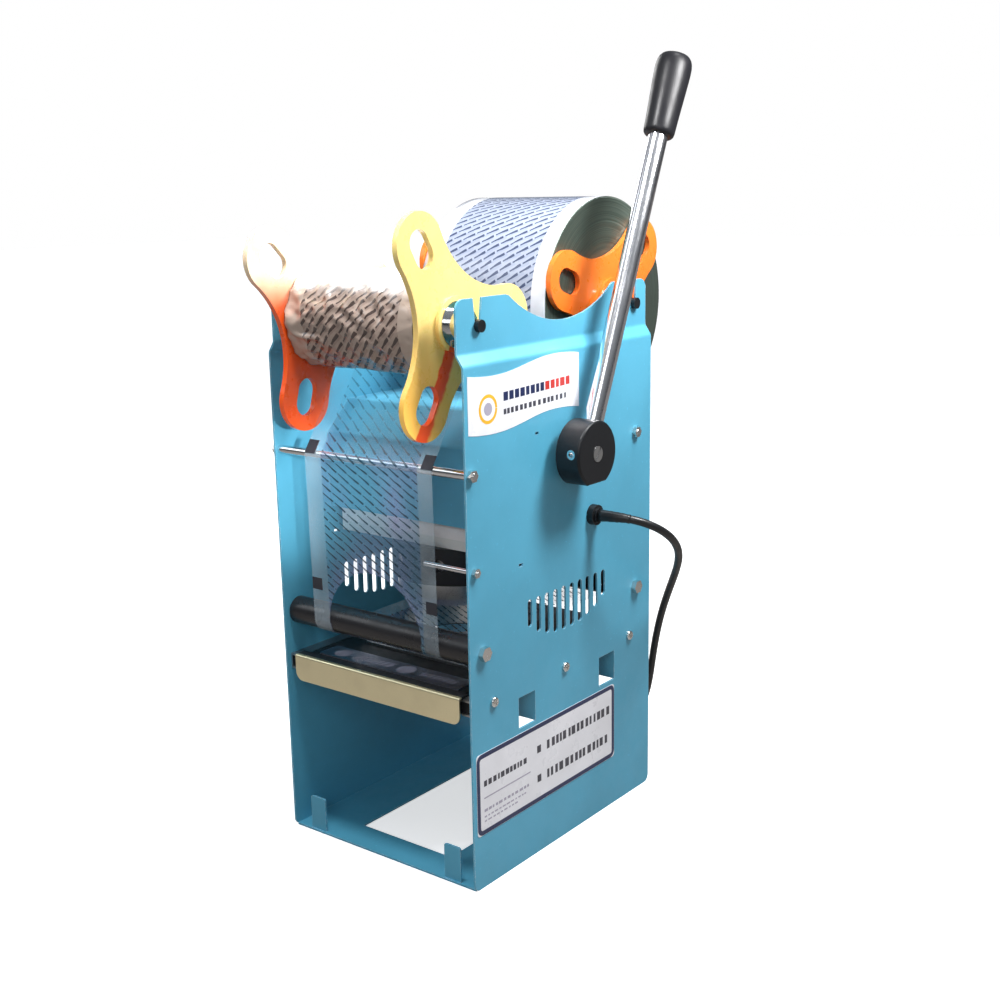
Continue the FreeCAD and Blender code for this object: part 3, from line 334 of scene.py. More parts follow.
def roll_end(name, color, deep):
    """End of a wound roll: fine rings whose gloss spreads into soft radial gleams."""
    s = Shader(name, color, 0.34, 0.55, Anisotropic=0.85, Coat_Weight=0.15, Coat_Roughness=0.3)
    tangent = s.node("ShaderNodeTangent", direction_type="RADIAL", axis="X")
    uv = s.node("ShaderNodeUVMap", uv_map="wound")
    rings = s.node("ShaderNodeTexNoise", noise_dimensions="2D")
    m = s.node("ShaderNodeMapping")
    m.inputs["Scale"].default_value = (0.5, 1500.0, 1.0)
    s.link(uv.outputs[0], m.inputs["Vector"])
    s.link(m.outputs[0], rings.inputs["Vector"])
    rings.inputs["Scale"].default_value = 1.0
    rings.inputs["Detail"].default_value = 3.0
    s.link(tangent.outputs[0], s.bsdf.inputs["Tangent"])
    s.to_color(s.tint(s.ramp(rings.outputs[0], 0.25, 0.75), deep, color))
    s.to_rough(s.ramp(rings.outputs[0], 0.3, 0.7, 0.30, 0.42))
    s.bump(rings.outputs[0], 0.12, 0.0002)
    return s.mat


def star_plastic(name, color, painted_lit_color, low_z, high_z, painted_shadow=None):
    """Glossy plastic that turns from color to hot between low_z and high_z: hot is a painted
    highlight, paler towards the top where light falls.

    shaded is (y, z, lean, colour): a painted shadow, a band of deeper colour below z on one
    lobe, from y to 16 mm behind it, whose sides lean by lean."""
    s = Shader(name, color, 0.3, Coat_Weight=0.4, Coat_Roughness=0.1, Subsurface_Weight=0.12)
    s.bsdf.inputs["Subsurface Radius"].default_value = (0.004, 0.0015, 0.0008)
    y, z = axes(s)[1:]
    # painted highlight: the colour turns to hot with height, towards the top
    wave = s.math("ADD", z, s.math("MULTIPLY", s.math("SUBTRACT", s.noise(14.0, 3.0, 0.6), 0.5), 0.03))
    base = s.tint(s.ramp(wave, low_z, high_z), color, painted_lit_color)
    if painted_shadow:
        # painted shadow: a band of deeper colour on one lobe, where the flange lies in shade
        at_y, at_z, lean, shadow_color = painted_shadow
        wave = s.math("MULTIPLY", s.math("SUBTRACT", s.noise(40.0, 3.0, 0.6), 0.5), 0.014)
        leaning = s.math("MULTIPLY", s.math("SUBTRACT", z, at_z), lean)
        edge = s.math("ADD", wave, s.math("SUBTRACT", y, leaning))
        band = s.math("MULTIPLY", s.ramp(edge, at_y, at_y + 0.002), s.ramp(edge, at_y + 0.016, at_y + 0.012))
        deep = s.math("MULTIPLY", band, s.ramp(z, at_z + 0.003, at_z - 0.003))
        base = s.tint(deep, base, shadow_color)
    redder = s.tint(0.12, base, (0.9, 0.2, 0.03))
    s.to_color(s.tint(s.ramp(s.noise(26.0, 4.0, 0.6), 0.3, 0.75), base, redder))
    s.to_rough(s.ramp(s.noise(90.0, 4.0, 0.6), 0.3, 0.7, 0.24, 0.38))
    s.bump(s.noise(260.0, 3.0, 0.5), 0.08, 0.0002)
    return s.mat


BLUE = (0.095, 0.40, 0.58)
M = {
    "paint": powder_coat("blue_powder_coat", BLUE),
    "paint_in": powder_coat("blue_powder_coat_cover", (0.12, 0.44, 0.62), 0.38),
    "steel": metal("plain_steel", (0.56, 0.57, 0.58), 0.30, (1, 1, 12), 0.12),
    "rail": metal("rail_steel", (0.40, 0.41, 0.42), 0.36, (1, 12, 1), 0.12),
    "chrome": metal("chrome_plate", (0.78, 0.79, 0.80), 0.07, (1, 1, 1), 0.02, 0.05),
    "tube": metal("lever_chrome", (0.92, 0.92, 0.95), 0.17, (1, 1, 1), 0.02, 0.05),
    "zinc": metal("zinc_plate", (0.72, 0.72, 0.70), 0.22, (1, 1, 1), 0.10),
    "alloy": metal("milled_aluminium", (0.74, 0.74, 0.73), 0.34, (14, 1, 1), 0.16),
    # the milled press plate is given a pale diffuse colour in place of its bright reflection: a painted
    # reflection
    "plate": moulded("machined_plate_painted_reflection", (0.84, 0.79, 0.77), 0.42, 700.0, 0.2),
    "brass": metal("turned_brass", (0.72, 0.52, 0.24), 0.26, (1, 1, 14), 0.12, tarnish=(0.45, 0.30, 0.15)),
    "bronze": metal("bronze", (0.50, 0.33, 0.18), 0.38, (1, 1, 1), 0.2),
    "gold": part_painted("pale_gold_steel", (0.96, 0.88, 0.58), (0.86, 0.78, 0.52), -0.1196),
    "foil": metal("label_foil", (0.46, 0.46, 0.54), 0.30, (14, 1, 1), 0.08),
    "casting": moulded("black_casting", (0.022, 0.023, 0.026), 0.46, 600.0, 0.5, specular=0.3),
    "board": moulded("heat_board", (0.72, 0.70, 0.66), 0.62, 900.0, 0.3),
    "black": moulded("black_plastic", (0.010, 0.011, 0.013), 0.34, 900.0, 0.12, specular=0.3),
    "tray": moulded("black_tray_paint", (0.010, 0.011, 0.013), 0.36, 1200.0, 0.15),
    "grip": moulded("grip_rubber", (0.009, 0.009, 0.011), 0.36, 1500.0, 0.3, specular=0.25),
    "jacket": moulded("cord_jacket", (0.012, 0.012, 0.013), 0.38, 1300.0, 0.25),
    "roller": moulded("roller_sleeve", (0.016, 0.016, 0.018), 0.30, 1100.0, 0.12),
    "silicone": moulded("silicone", (0.70, 0.70, 0.66), 0.5, 700.0, 0.15),
    "card": moulded("core_board", (0.50, 0.38, 0.24), 0.75, 500.0, 0.5),
    "paper": moulded("label_vinyl", (0.84, 0.85, 0.90), 0.30, 300.0, 0.05, 0.2, 0.97),
    "navy": moulded("label_navy", (0.012, 0.022, 0.09), 0.32, 300.0, 0.05, 0.2),
    "red": moulded("label_red", (0.62, 0.03, 0.02), 0.32, 300.0, 0.05, 0.2),
    "ink": moulded("label_ink", (0.05, 0.05, 0.07), 0.36, 300.0, 0.05, 0.2),
    "amber": moulded("label_amber", (0.90, 0.50, 0.03), 0.34, 300.0, 0.05, 0.2),
    "grey": moulded("label_grey", (0.42, 0.40, 0.50), 0.34, 300.0, 0.05, 0.2),
    "web_z": film_web("film_printed", "z"),
    "web_y": film_web("film_printed_flat", "y"),
    "supply": wound_film("film_wound", (0.80, 0.82, 0.88), (0.26, 0.31, 0.43), (0.03, 0.045, 0.11),
                         0.78, 0.16, -31, 0.0058, 0.0130, 0.0017, 0.0),
    # the waste roll's top, above lit_z 0.447 m, is painted white: a painted highlight
    "waste": wound_film("film_waste", (0.46, 0.37, 0.31), (0.20, 0.13, 0.11), (0.035, 0.022, 0.02),
                        0.3, 0.18, -46, 0.0060, 0.0125, 0.0019, 0.75, 0.447),
    "roll_end": roll_end("film_roll_end", (0.115, 0.150, 0.125), (0.055, 0.075, 0.06)),
    # painted highlight on all three flanges: each turns paler towards its top
    "star_left": star_plastic("orange_flange", (0.95, 0.10, 0.010), (0.98, 0.80, 0.55), 0.428, 0.462),
    # painted light: the right flange is the same orange plastic as the others, coloured amber as if brightly
    # lit, with a painted shadow band low on one lobe
    "star_right": star_plastic("orange_flange_painted_lit", (0.96, 0.56, 0.10), (0.97, 0.76, 0.28), 0.36, 0.45,
                               (-0.1045, 0.4120, 0.566, (0.93, 0.085, 0.008))),
    "star_rear": star_plastic("rear_orange_flange", (0.95, 0.16, 0.012), (0.96, 0.24, 0.03), 0.40, 0.50),
}

FINISH = {
    "paint": ["left_panel", "right_panel", "base_plate"],
    "paint_in": ["heater_cover"],
    "steel": ["guide_bridge", "cutter_ring", "lever_shaft", "lever_pinions", "head_racks",
              "heater_cartridges", "die_plate"],
    "rail": ["drawer_rails"],
    "tube": ["lever_tube"],
    "chrome": ["film_rods", "guide_posts", "takeup_clamps", "supply_clamps", "hub_set_screw"],
    "zinc": ["rod_nuts", "rail_screws", "roller_bolts", "head_bolts", "shaft_collar"],
    "alloy": ["cup_ring"],
    "plate": ["press_plate"],
    "brass": ["seal_ring"],
    "bronze": ["bronze_bushes"],
    "gold": ["drawer_lip"],
    "foil": ["drawer_label"],
    "casting": ["heater_block"],
    "board": ["insulator_board"],
    "black": ["lever_hub", "thermostat", "terminal_block", "cord_gland", "power_plug",
              "drawer_runners", "takeup_shaft", "supply_shaft"],
    "tray": ["drawer_tray"],
    "roller": ["front_roller", "rear_roller"],
    "silicone": ["ring_gasket"],
    "card": ["takeup_core", "supply_core"],
    "paper": ["side_labels"],
    "web_z": ["film_front_web", "film_rear_web"],
    "web_y": ["film_bottom_web"],
    "star_left": ["takeup_flange_left"],
    "star_right": ["takeup_flange_right"],
    "star_rear": ["supply_flange_left", "supply_flange_right"],
}
# width of each node's rounded edges, in mm
BEVELS = {
    "left_panel": 0.35, "right_panel": 0.35, "base_plate": 0.35, "guide_bridge": 0.4,
    "press_plate": 0.6, "insulator_board": 0.4, "heater_block": 1.2, "lever_hub": 0.5,
    "lever_tube": 0.3, "rod_nuts": 0.35, "roller_bolts": 0.45, "rail_screws": 0.25,
    "drawer_lip": 0.3, "drawer_tray": 0.3, "drawer_runners": 0.6, "drawer_rails": 0.3,
    "die_plate": 0.4, "cup_ring": 0.6, "ring_gasket": 0.9, "seal_ring": 0.6, "cutter_ring": 0.2,
    "guide_posts": 0.5, "takeup_flange_left": 1.1, "takeup_flange_right": 1.1,
    "supply_flange_left": 1.1, "supply_flange_right": 1.1, "takeup_clamps": 0.8,
    "supply_clamps": 0.8, "takeup_shaft": 0.6, "supply_shaft": 0.6, "front_roller": 1.0,
    "rear_roller": 1.0, "cord_gland": 1.2, "power_plug": 1.2, "terminal_block": 0.6,
    "thermostat": 0.6, "head_racks": 0.3, "lever_pinions": 0.25, "shaft_collar": 0.5,
    "head_bolts": 0.3, "lever_shaft": 0.4, "bronze_bushes": 0.4, "film_rods": 0.4,
    "hub_set_screw": 0.25,
}
BEVEL_FROM = math.radians(40)         # a sharper edge than this is rounded


def finish_nodes():
    for key, names in FINISH.items():
        for name in names:
            node = NODES[name]
            node.data.materials.clear()
            node.data.materials.append(M[key])
    for name, width in BEVELS.items():
        mod = NODES[name].modifiers.new("edge", "BEVEL")
        mod.width = width * MM
        mod.segments = 2
        mod.limit_method = "ANGLE"
        mod.angle_limit = BEVEL_FROM
        mod.use_clamp_overlap = True


finish_nodes()


# ---- mesh helpers ---------------------------------------------------------------------
def new_piece(name, verts, faces, material, body, smooth=True):
    mesh = bpy.data.meshes.new(name)
    mesh.from_pydata([tuple(v) for v in verts], [], faces)
    mesh.validate()
    if smooth:
        mesh.shade_smooth()
    obj = bpy.data.objects.new(name, mesh)
    SCENE.collection.objects.link(obj)
    for m in material if isinstance(material, list) else [material]:
        mesh.materials.append(m)
    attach(obj, body)
    return obj


def ring_faces(rows, steps):
    """Sides and two flat ends of a closed tube whose vertices come ring by ring."""
    faces = []
    for i in range(rows - 1):
        for k in range(steps):
            j = (k + 1) % steps
            faces.append((i * steps + k, i * steps + j, (i + 1) * steps + j, (i + 1) * steps + k))
    faces.append(tuple(range(steps))[::-1])
    faces.append(tuple((rows - 1) * steps + k for k in range(steps)))
    return faces


def lathe(profile, start, direction, steps):
    """Closed surface of revolution. profile: (distance along, radius) in mm, from start."""
    direction = Vector(direction).normalized()
    side = direction.orthogonal().normalized()
    other = direction.cross(side)
    verts = []
    for d, r in profile:
        for k in range(steps):
            a = 2 * math.pi * k / steps
            around = side * math.cos(a) + other * math.sin(a)
            verts.append(Vector(start) + direction * d * MM + around * r * MM)
    return verts, ring_faces(len(profile), steps)


def tube(points, radius, steps):
    """Round closed tube along points; radius is one number, or a list with each point's own."""
    pts = [Vector(p) for p in points]
    radii = radius if isinstance(radius, list) else [radius] * len(pts)
    verts = []
    side = (pts[1] - pts[0]).orthogonal().normalized()
    for i, (p, r) in enumerate(zip(pts, radii)):
        ahead = (pts[min(i + 1, len(pts) - 1)] - pts[max(i - 1, 0)]).normalized()
        side = (side - ahead * side.dot(ahead)).normalized()
        other = ahead.cross(side)
        for k in range(steps):
            a = 2 * math.pi * k / steps
            verts.append(p + (side * math.cos(a) + other * math.sin(a)) * r)
    return verts, ring_faces(len(pts), steps)


# ---- mains cord -----------------------------------------------------------------------
CORD_D = 6.5
ROUTE = [(104.0, 35, 260.5), (116.2, 35.1, 261.0), (127.7, 39.0, 260.2), (137.5, 45.7, 257.2),
         (144.7, 54.6, 251.9), (148.3, 65.4, 244.6), (147.7, 77.6, 235.6), (143.5, 90.5, 225.3),
         (136.2, 103.7, 213.6), (126.6, 116.7, 200.6), (115.5, 129.3, 185.9), (104.0, 141.0, 169.5),
         (92.8, 151.8, 151.3), (82.6, 161.6, 131.4), (73.6, 170.6, 110.2), (65.6, 179.2, 88.4),
         (58.0, 187.4, 67.0), (49.6, 195.2, 47.6), (38.6, 202.6, 31.0), (24.6, 209.0, 17.8),
         (8.6, 213.8, 9.2), (-5.0, 216.6, 5.0)]
TAIL = [(-6, 138.6, 10.1), (4, 138.1, 10.5), (13, 138.6, 11.2)]
COIL_X, COIL_Y, COIL_TURNS = -16.0, 178.0, 3.5
COIL_OUTER, COIL_INNER = 39.7, 33.4             # radii of the two rings of turns
LAYER_LOW, LAYER_HIGH = 3.5, 9.9                # heights of the two layers of turns
COIL_END = (COIL_X, COIL_Y - 39.9, LAYER_HIGH)
RELIEF_LENGTH, RELIEF_R, RELIEF_TAPER = 24.0, 5.1, 1.35
RIB_PITCH, RIB_DEPTH = 2.4, 0.22
TIE_X, TIE_Z = COIL_X - 36.6, 6.9               # the tie's middle, on the coil's left side
TIE_WIDE, TIE_HIGH, TIE_R, TIE_LOWEST = 8.4, 6.6, 0.9, 0.95


def coil_points():
    """Three and a half turns, wound outside to inside on the table and back out on top."""
    per_turn = 16
    # the curve cuts its points' corners, so they stand a little outside the turn's radius
    swell = 1.0 / math.cos(math.pi / per_turn) ** 0.7
    rings = [(COIL_OUTER, LAYER_LOW), (COIL_INNER, LAYER_LOW),
             (COIL_INNER, LAYER_HIGH), (COIL_OUTER, LAYER_HIGH)]
    step_from = 0.72                            # the share of a turn after which it changes ring
    points = []
    for i in range(int(COIL_TURNS * per_turn)):
        turn = i / per_turn
        ring = int(turn)
        blend = max(0.0, (turn - ring - step_from) / (1 - step_from)) if ring < 3 else 0.0
        blend = blend * blend * (3 - 2 * blend)
        a, b = rings[ring], rings[min(ring + 1, 3)]
        r = (a[0] + (b[0] - a[0]) * blend) * swell
        z = a[1] + (b[1] - a[1]) * blend
        angle = math.pi / 2 + 2 * math.pi * turn
        points.append((COIL_X + r * math.cos(angle), COIL_Y + r * math.sin(angle), z))
    return points


def centre_line(curve):
    """Points along the middle of a curve, as a list of vectors."""
    bare = curve.copy()
    bare.bevel_depth = 0.0
    probe = bpy.data.objects.new("probe", bare)
    line = bpy.data.meshes.new_from_object(probe)
    path = [v.co.copy() for v in line.vertices]
    bpy.data.objects.remove(probe)
    bpy.data.curves.remove(bare)
    bpy.data.meshes.remove(line)
    return path


def add_relief(path):
    """Ribbed sleeve that tapers along the first stretch of the cord's own line."""
    reach, sleeve, gone = RELIEF_LENGTH * MM, [path[0]], [0.0]
    for a, b in zip(path, path[1:]):
        gone.append(gone[-1] + (b - a).length)
        sleeve.append(b)
        if gone[-1] > reach:
            break
    radii = []
    for g in gone:
        rib = RIB_DEPTH if int(g / (RIB_PITCH * MM)) % 2 else 0.0
        radii.append((RELIEF_R - RELIEF_TAPER * min(1.0, g / reach) - rib) * MM)
    verts, faces = tube(sleeve, radii, 20)
    relief = new_piece("cord_relief", verts, faces, M["jacket"], "housing")
    return relief


def add_tie():
    """Wire tie around all the turns, flattened where it would reach the table."""
    loop, steps = [], 32
    for k in range(steps + 1):
        a = 2 * math.pi * k / steps
        z = max(TIE_LOWEST, TIE_Z + TIE_HIGH * math.sin(a))
        loop.append(Vector((TIE_X + TIE_WIDE * math.cos(a), COIL_Y, z)) * MM)
    verts, faces = tube(loop, TIE_R * MM, 8)
    wrap = new_piece("coil_tie", verts, faces, M["grey"], "housing")
    return wrap


def add_cord():
    points = ROUTE + coil_points() + [COIL_END] + TAIL
    curve = bpy.data.curves.new("mains_cord", "CURVE")
    curve.dimensions = "3D"
    curve.bevel_depth = CORD_D / 2 * MM
    curve.bevel_resolution = 6
    curve.resolution_u = 6
    spline = curve.splines.new("NURBS")
    spline.points.add(len(points) - 1)
    for p, q in zip(spline.points, points):
        p.co = (q[0] * MM, q[1] * MM, q[2] * MM, 1.0)
    spline.order_u = 3
    spline.use_endpoint_u = True
    curve.use_fill_caps = True
    curve.materials.append(M["jacket"])
    cord = bpy.data.objects.new("mains_cord", curve)
    SCENE.collection.objects.link(cord)
    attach(cord, "housing")
    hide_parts("power_cord", "cord_tail", "cord_coil")
    relief = add_relief(centre_line(curve))
    wrap = add_tie()


add_cord()


# ---- lever grip and return springs ----------------------------------------------------
SHAFT_Z, LEVER_X, LEAN = 318.0, 115.0, math.radians(23.3)
LEVER_DIR = Vector((0, math.sin(LEAN), math.cos(LEAN)))


# (distance from the shaft along the lever, radius): open end, swelling, domed top
GRIP_PROFILE = [(255.0, 8.0), (255.0, 10.4), (255.4, 11.2), (256.4, 11.9), (258.5, 12.3), (264, 12.5),
                (272, 12.8), (282, 13.3), (292, 13.8), (302, 14.25), (308, 14.4), (312, 14.3),
                (315.2, 13.8), (317.6, 12.9), (319.4, 11.5), (320.4, 9.4), (320.9, 6.5), (320.9, 2.0)]


def add_grip():
    verts, faces = lathe(GRIP_PROFILE, (LEVER_X * MM, 0, SHAFT_Z * MM), LEVER_DIR, 72)
    grip = new_piece("grip", verts, faces, M["grip"], "lever")
    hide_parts("lever_grip")


add_grip()

POST_X, POST_Y = 66, 19
SPRING_LOW, SPRING_HIGH, SPRING_TURNS = 286.85, 330.15, 7
SPRING_R, SPRING_WIRE_R = 7.9, 0.75


def add_springs():
    verts, faces = [], []
    count = SPRING_TURNS * 26
    for side in (-1, 1):
        points = []
        for i in range(count + 1):
            t = i / count
            # closed end coils: the pitch grows from nothing over the first and last turn
            eased = t + math.sin(4 * math.pi * t) * -0.018
            a = 2 * math.pi * SPRING_TURNS * t
            x, y = side * POST_X + SPRING_R * math.cos(a), POST_Y + SPRING_R * math.sin(a)
            points.append(Vector((x, y, SPRING_LOW + (SPRING_HIGH - SPRING_LOW) * eased)) * MM)
        v, f = tube(points, SPRING_WIRE_R * MM, 8)
        base = len(verts)
        verts += v
        faces += [tuple(k + base for k in face) for face in f]
    springs = new_piece("springs", verts, faces, M["steel"], "housing")
    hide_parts("return_springs")
    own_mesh(springs)


add_springs()


# ---- wound film -----------------------------------------------------------------------
FILM_HALF, CORE_R = 64.0, 19.0                  # half the film's width; the core's radius
SUPPLY_R, WASTE_R = 85.0, 38.0
SUPPLY_AXIS, TAKEUP_AXIS = (104.0, 422.0), (-98.5, 421.5)       # Y and Z of the two shafts
END_UNEVEN = 0.35                               # how far single turns stand back at the ends
WASTE_LOOSE = 2.4                               # how far the waste film's turns wander


def crumpled(r, x, a, inner, outer, loose, seed):
    """Radius of a loose, creased turn, which bulges towards the roll's right end."""
    p = Vector((x * 0.045, 2.2 * math.cos(a), 2.2 * math.sin(a)))
    share = (r - inner) / (outer - inner)
    folds = 1 - abs(noise.noise(p * 1.3 + Vector((seed, 0, 0)))) * 2.2
    fine = noise.noise(p * 3.4 + Vector((0, seed, 0)))
    wander = loose * share * (0.9 * folds + 0.5 * fine - 0.8 + 0.5 * x / FILM_HALF)
    # no turn stands out past the one that the web leaves from
    return min(r + wander, outer)


def wound_roll(name, node, axis, inner, outer, body, surface, loose, seed):
    """Roll of film with uneven layers at its ends; loose (mm) makes it a crumpled waste roll."""
    rng = random.Random(seed)
    rings = max(8, int((outer - inner) / (2.5 if loose else 1.6)))
    steps, lengths = (160, 72) if loose else (180, 20)
    left, right = [], []
    for i in range(rings + 1):
        left.append((inner + (outer - inner) * i / rings, -FILM_HALF + rng.uniform(0.0, END_UNEVEN)))
    sides = [(outer, -FILM_HALF + 2 * FILM_HALF * i / lengths) for i in range(1, lengths)]
    for i in range(rings + 1):
        r = inner + (outer - inner) * (rings - i) / rings
        right.append((r, FILM_HALF - rng.uniform(0.0, END_UNEVEN)))
    loop = left + sides + right
    verts = []
    for r, x in loop:
        for k in range(steps):
            a = 2 * math.pi * k / steps
            rr = crumpled(r, x, a, inner, outer, loose, seed) if loose and r > inner + 1 else r
            verts.append(Vector((x, axis[0] + rr * math.cos(a), axis[1] + rr * math.sin(a))) * MM)
    faces = []
    n = len(loop)
    for i in range(n):
        j = (i + 1) % n
        for k in range(steps):
            m = (k + 1) % steps
            faces.append((i * steps + k, j * steps + k, j * steps + m, i * steps + m))
    roll = new_piece(name, verts, faces, [surface, M["roll_end"]], body)
    # the ends are mapped by angle and radius, the outer turn by width and length unrolled
    layer = roll.data.uv_layers.new(name="wound")
    for poly in roll.data.polygons:
        ring = poly.vertices[0] // steps
        on_end = ring < rings or ring >= len(left) + len(sides)
        poly.material_index = 1 if on_end else 0
        columns = [v % steps for v in poly.vertices]
        wrap = max(columns) - min(columns) > steps // 2
        for li, v, col in zip(poly.loop_indices, poly.vertices, columns):
            column = col + steps if wrap and col < steps // 2 else col
            r, x = loop[v // steps]
            turn = 2 * math.pi * column / steps
            layer.data[li].uv = (turn, r * MM) if on_end else (x * MM, turn * outer * MM)
    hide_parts(node)


wound_roll("supply_roll", "supply_film", SUPPLY_AXIS, CORE_R, SUPPLY_R, "supply_spool",
           M["supply"], 0.0, 3)
wound_roll("waste_roll", "takeup_film", TAKEUP_AXIS, CORE_R, WASTE_R, "takeup_spool",
           M["waste"], WASTE_LOOSE, 7)


# ---- prints on the labels -------------------------------------------------------------
INK_THICK = 0.06
LABEL_X, DRAWER_TOP = 96.75, 152.0              # faces that the prints lie on


def decal(name, shapes, place, material, body):
    """Thin closed prints. shapes are flat outlines; place maps (u, v, height) to the frame, in mm."""
    verts, faces = [], []
    for outline in shapes:
        n = len(outline)
        base = len(verts)
        for h in (0.0, INK_THICK):
            verts += [Vector(place(u, v, h)) * MM for u, v in outline]
        faces.append(tuple(base + k for k in range(n))[::-1])
        faces.append(tuple(base + n + k for k in range(n)))
        for k in range(n):
            m = (k + 1) % n
            faces.append((base + k, base + m, base + n + m, base + n + k))
    piece = new_piece(name, verts, faces, material, body, smooth=False)


def bar(u0, v0, u1, v1, h):
    """Slanted bar from (u0, v0) to (u1, v1), h high."""
    return [(u0, v0 - h / 2), (u1, v1 - h / 2), (u1, v1 + h / 2), (u0, v0 + h / 2)]


def disc(u, v, r, n=28):
    return [(u + r * math.cos(2 * math.pi * k / n), v + r * math.sin(2 * math.pi * k / n)) for k in range(n)]


def ring_band(u, v, inner, outer, step=0.25):
    """A ring as short quads, step apart in radians."""
    quads = []
    for k in range(25):
        t = k * step
        corners = ((inner, t), (outer, t), (outer, t + step), (inner, t + step))
        quads.append([(u + r * math.cos(a), v + r * math.sin(a)) for r, a in corners])
    return quads


def rounded_strip(u0, v0, u1, v1, r, t, n=6):
    """A rounded frame, t wide, as a closed row of quads."""
    centres = [(u1 - r, v1 - r, 0), (u0 + r, v1 - r, 90), (u0 + r, v0 + r, 180), (u1 - r, v0 + r, 270)]
    outer, inner = [], []
    for cu, cv, a0 in centres:
        for k in range(n + 1):
            a = math.radians(a0 + 90 * k / n)
            outer.append((cu + r * math.cos(a), cv + r * math.sin(a)))
            inner.append((cu + (r - t) * math.cos(a), cv + (r - t) * math.sin(a)))
    count = len(outer)
    return [[inner[k], outer[k], outer[(k + 1) % count], inner[(k + 1) % count]] for k in range(count)]


def marks_in_row(rng, u, end, widths, gaps, shape):
    """Marks of random width from u to end, as (shapes, where the next would be).

    gaps is the space after each, or a pair for a random space; shape makes one from (u, w)."""
    marks = []
    while u < end:
        w = rng.uniform(*widths)
        marks.append(shape(u, w))
        u += w + (rng.uniform(*gaps) if isinstance(gaps, tuple) else gaps)
    return marks, u


def level(v, h):
    """Shape of a level bar at v, h high."""
    return lambda u, w: bar(u, v, u + w, v, h)


def tilted(v, h, tilt=0.03):
    """Shape of a bar on the upper label's lines, which climb towards the rear."""
    return lambda u, w: bar(u, v + tilt * u, u + w, v + tilt * (u + w), h)


def slanted(low, high, lean):
    """Shape of a leaning mark between low and high."""
    return lambda u, w: [(u, low), (u + w, low), (u + w + lean, high), (u + lean, high)]


def on_side(u, v, h):
    return (LABEL_X + h, u, v)


def on_drawer(u, v, h):
    return (u, v, DRAWER_TOP + h)


def add_lower_label(rng):
    lines, strong = [bar(-110, 72, -52, 72, 1.0)], []
    # a heading and three lines of small print
    for v, end, h in ((83.5, -60, 4.6), (62, -56, 2.2), (57, -60, 1.2), (53.5, -70, 1.2)):
        marks = marks_in_row(rng, -110.0, end, (2.0, 4.5), (1.0, 2.0), level(v, h))[0]
        (strong if v == 83.5 else lines).extend(marks)
    # two large lines, each after a small square
    for v in (87.0, 62.5):
        strong.append(bar(-43, v, -38, v, 6.0))
        strong += marks_in_row(rng, -30.0, 56, (2.6, 5.2), (1.2, 3.4), level(v, 7.2))[0]
    decal("lower_label_lines", lines, on_side, M["grey"], "housing")
    decal("lower_label_bars", strong, on_side, M["ink"], "housing")


def add_upper_label(rng):
    top, u = marks_in_row(rng, -78.0, -30, (3.0, 6.0), 1.6, tilted(372, 6.4))
    warm = marks_in_row(rng, u, 4, (3.0, 6.0), 1.6, tilted(372, 6.4))[0]
    low = marks_in_row(rng, -78.0, 2, (2.0, 3.8), (1.0, 3.0), tilted(361, 4.0))[0]
    decal("upper_label_bars", top, on_side, M["navy"], "housing")
    decal("upper_label_warm_bars", warm, on_side, M["red"], "housing")
    decal("upper_label_small_bars", low, on_side, M["ink"], "housing")
    decal("upper_label_ring", ring_band(-96, 363, 8.2, 10.6), on_side, M["amber"], "housing")
    decal("upper_label_dot", [disc(-96, 363, 4.6)], on_side, M["grey"], "housing")


def add_drawer_label(rng):
    marks = [disc(-55, -97.5, 7.5), disc(12, -97.5, 8.0)]
    marks += marks_in_row(rng, -40.0, -2, (2.0, 4.0), 2.2, slanted(-102, -93, 1.5))[0]
    marks += marks_in_row(rng, 28.0, 62, (1.6, 3.4), 2.2, slanted(-101, -94, 1.0))[0]
    decal("drawer_label_marks", marks, on_drawer, M["grey"], "drawer")


def add_prints():
    frame_quads = rounded_strip(-118.3, 43.2, 66.8, 107.8, 6.0, 3.6)
    decal("lower_label_frame", frame_quads, on_side, M["navy"], "housing")
    rng = random.Random(5)
    add_lower_label(rng)
    add_upper_label(rng)
    add_drawer_label(rng)


add_prints()


# ---- floor and light ------------------------------------------------------------------
FLOOR_REACH, FLOOR_Z = 12.0, -0.0002
SKY_STRENGTH = 0.36


def add_stage():
    mesh = bpy.data.meshes.new("floor")
    corners = [(x * FLOOR_REACH, y * FLOOR_REACH, FLOOR_Z) for x, y in ((-1, -1), (1, -1), (1, 1), (-1, 1))]
    mesh.from_pydata(corners, [], [(0, 1, 2, 3)])
    floor = bpy.data.objects.new("floor", mesh)
    SCENE.collection.objects.link(floor)
    # paler to the camera than to the object, so that it doesn't fill the shadows inside
    s = Shader("pale_floor", (0.9, 0.9, 0.9), 0.6)
    seen = s.node("ShaderNodeLightPath").outputs["Is Camera Ray"]
    pale = s.tint(s.ramp(s.noise(3.0, 3.0, 0.5), 0.3, 0.7), (0.90, 0.90, 0.90), (0.93, 0.93, 0.93))
    s.to_color(s.tint(seen, (0.30, 0.27, 0.25), pale))
    s.set("Emission Color", (1.0, 1.0, 1.0, 1.0))
    s.link(s.math("MULTIPLY", seen, 0.55), s.bsdf.inputs["Emission Strength"])
    mesh.materials.append(s.mat)


def hang(name, data, place, aim):
    """Put a light at place, with its -Z axis along aim."""
    light = bpy.data.objects.new(name, data)
    light.location = place
    light.rotation_euler = aim.to_track_quat("-Z", "Y").to_euler()
    SCENE.collection.objects.link(light)
    return light


def add_light(name, place, target, size, power, color=(1, 1, 1)):
    data = bpy.data.lights.new(name, "AREA")
    data.shape = "DISK"
    data.size = size
    data.energy = power
    data.color = color
    hang(name, data, place, Vector(target) - Vector(place)).visible_camera = False


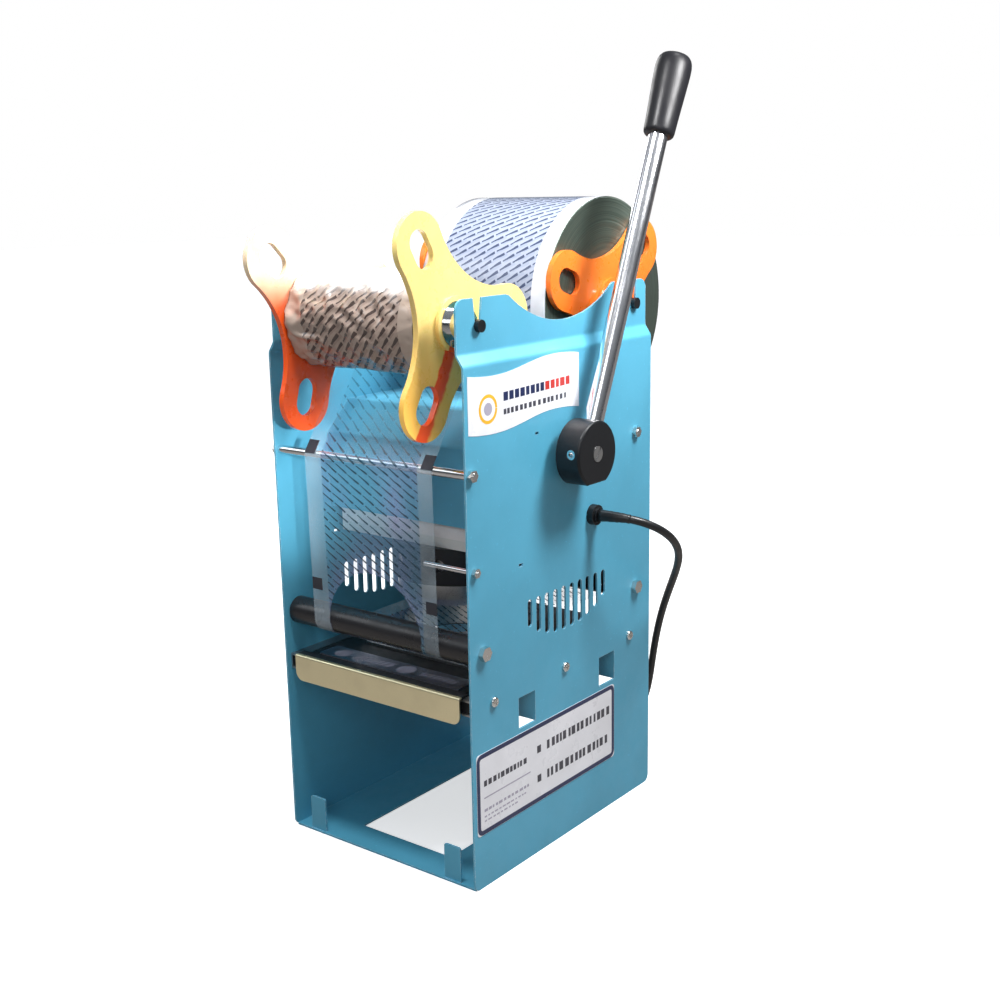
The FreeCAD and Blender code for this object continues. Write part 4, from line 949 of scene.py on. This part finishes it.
def add_spot(name, place, target, cone, power):
    data = bpy.data.lights.new(name, "SPOT")
    data.spot_size = math.radians(cone)
    data.spot_blend = 0.7
    data.shadow_soft_size = 0.02
    data.energy = power
    hang(name, data, place, Vector(target) - Vector(place))


def add_sun(direction, strength, spread):
    """Sun that shines from direction; spread is its width in degrees."""
    data = bpy.data.lights.new("sky_sun", "SUN")
    data.energy = strength
    data.angle = math.radians(spread)
    light = bpy.data.objects.new("sky_sun", data)
    light.rotation_euler = Vector(direction).to_track_quat("Z", "Y").to_euler()
    SCENE.collection.objects.link(light)


def add_world():
    """White behind the object; a soft sky, darker towards the horizon, for light and reflections."""
    world = bpy.data.worlds.new("studio")
    world.use_nodes = True
    nt = world.node_tree
    sky = nt.nodes["Background"]
    behind = nt.nodes.new("ShaderNodeBackground")
    behind.inputs["Color"].default_value = (1.0, 1.0, 1.0, 1.0)
    sep = nt.nodes.new("ShaderNodeSeparateXYZ")
    nt.links.new(nt.nodes.new("ShaderNodeTexCoord").outputs["Generated"], sep.inputs[0])
    ramp = nt.nodes.new("ShaderNodeValToRGB")
    ramp.color_ramp.elements[0].position = 0.02
    ramp.color_ramp.elements[0].color = (0.14, 0.145, 0.155, 1.0)
    ramp.color_ramp.elements[1].position = 0.75
    ramp.color_ramp.elements[1].color = (0.86, 0.93, 1.0, 1.0)
    nt.links.new(sep.outputs["Z"], ramp.inputs["Fac"])
    nt.links.new(ramp.outputs["Color"], sky.inputs["Color"])
    sky.inputs["Strength"].default_value = SKY_STRENGTH
    pick = nt.nodes.new("ShaderNodeMixShader")
    nt.links.new(nt.nodes.new("ShaderNodeLightPath").outputs["Is Camera Ray"], pick.inputs[0])
    nt.links.new(sky.outputs[0], pick.inputs[1])
    nt.links.new(behind.outputs[0], pick.inputs[2])
    nt.links.new(pick.outputs[0], nt.nodes["World Output"].inputs["Surface"])
    SCENE.world = world


add_stage()
add_world()
add_sun((0.24, 0.10, 0.96), 1.4, 14)
add_light("lamp", (0.34, 0.10, 0.70), (0.05, 0, 0.36), 0.15, 3.4)
add_light("gap", (0.06, -0.24, 0.84), (-0.08, -0.09, 0.30), 0.12, 3.0)
add_light("front", (0.9, -1.5, 1.1), (0, 0, 0.25), 0.9, 6.5, (0.97, 0.98, 1.0))
add_light("side", (-1.3, -0.9, 1.2), (0, 0, 0.4), 0.8, 3.0, (0.92, 0.96, 1.0))
add_light("back_left", (-1.5, 0.7, 1.1), (0, 0, 0.25), 0.9, 11.0)
add_spot("inside", (0.55, -0.42, 0.42), (-0.1, -0.1, 0.285), 11.5, 22.0)
SCENE.view_settings.view_transform = "Standard"
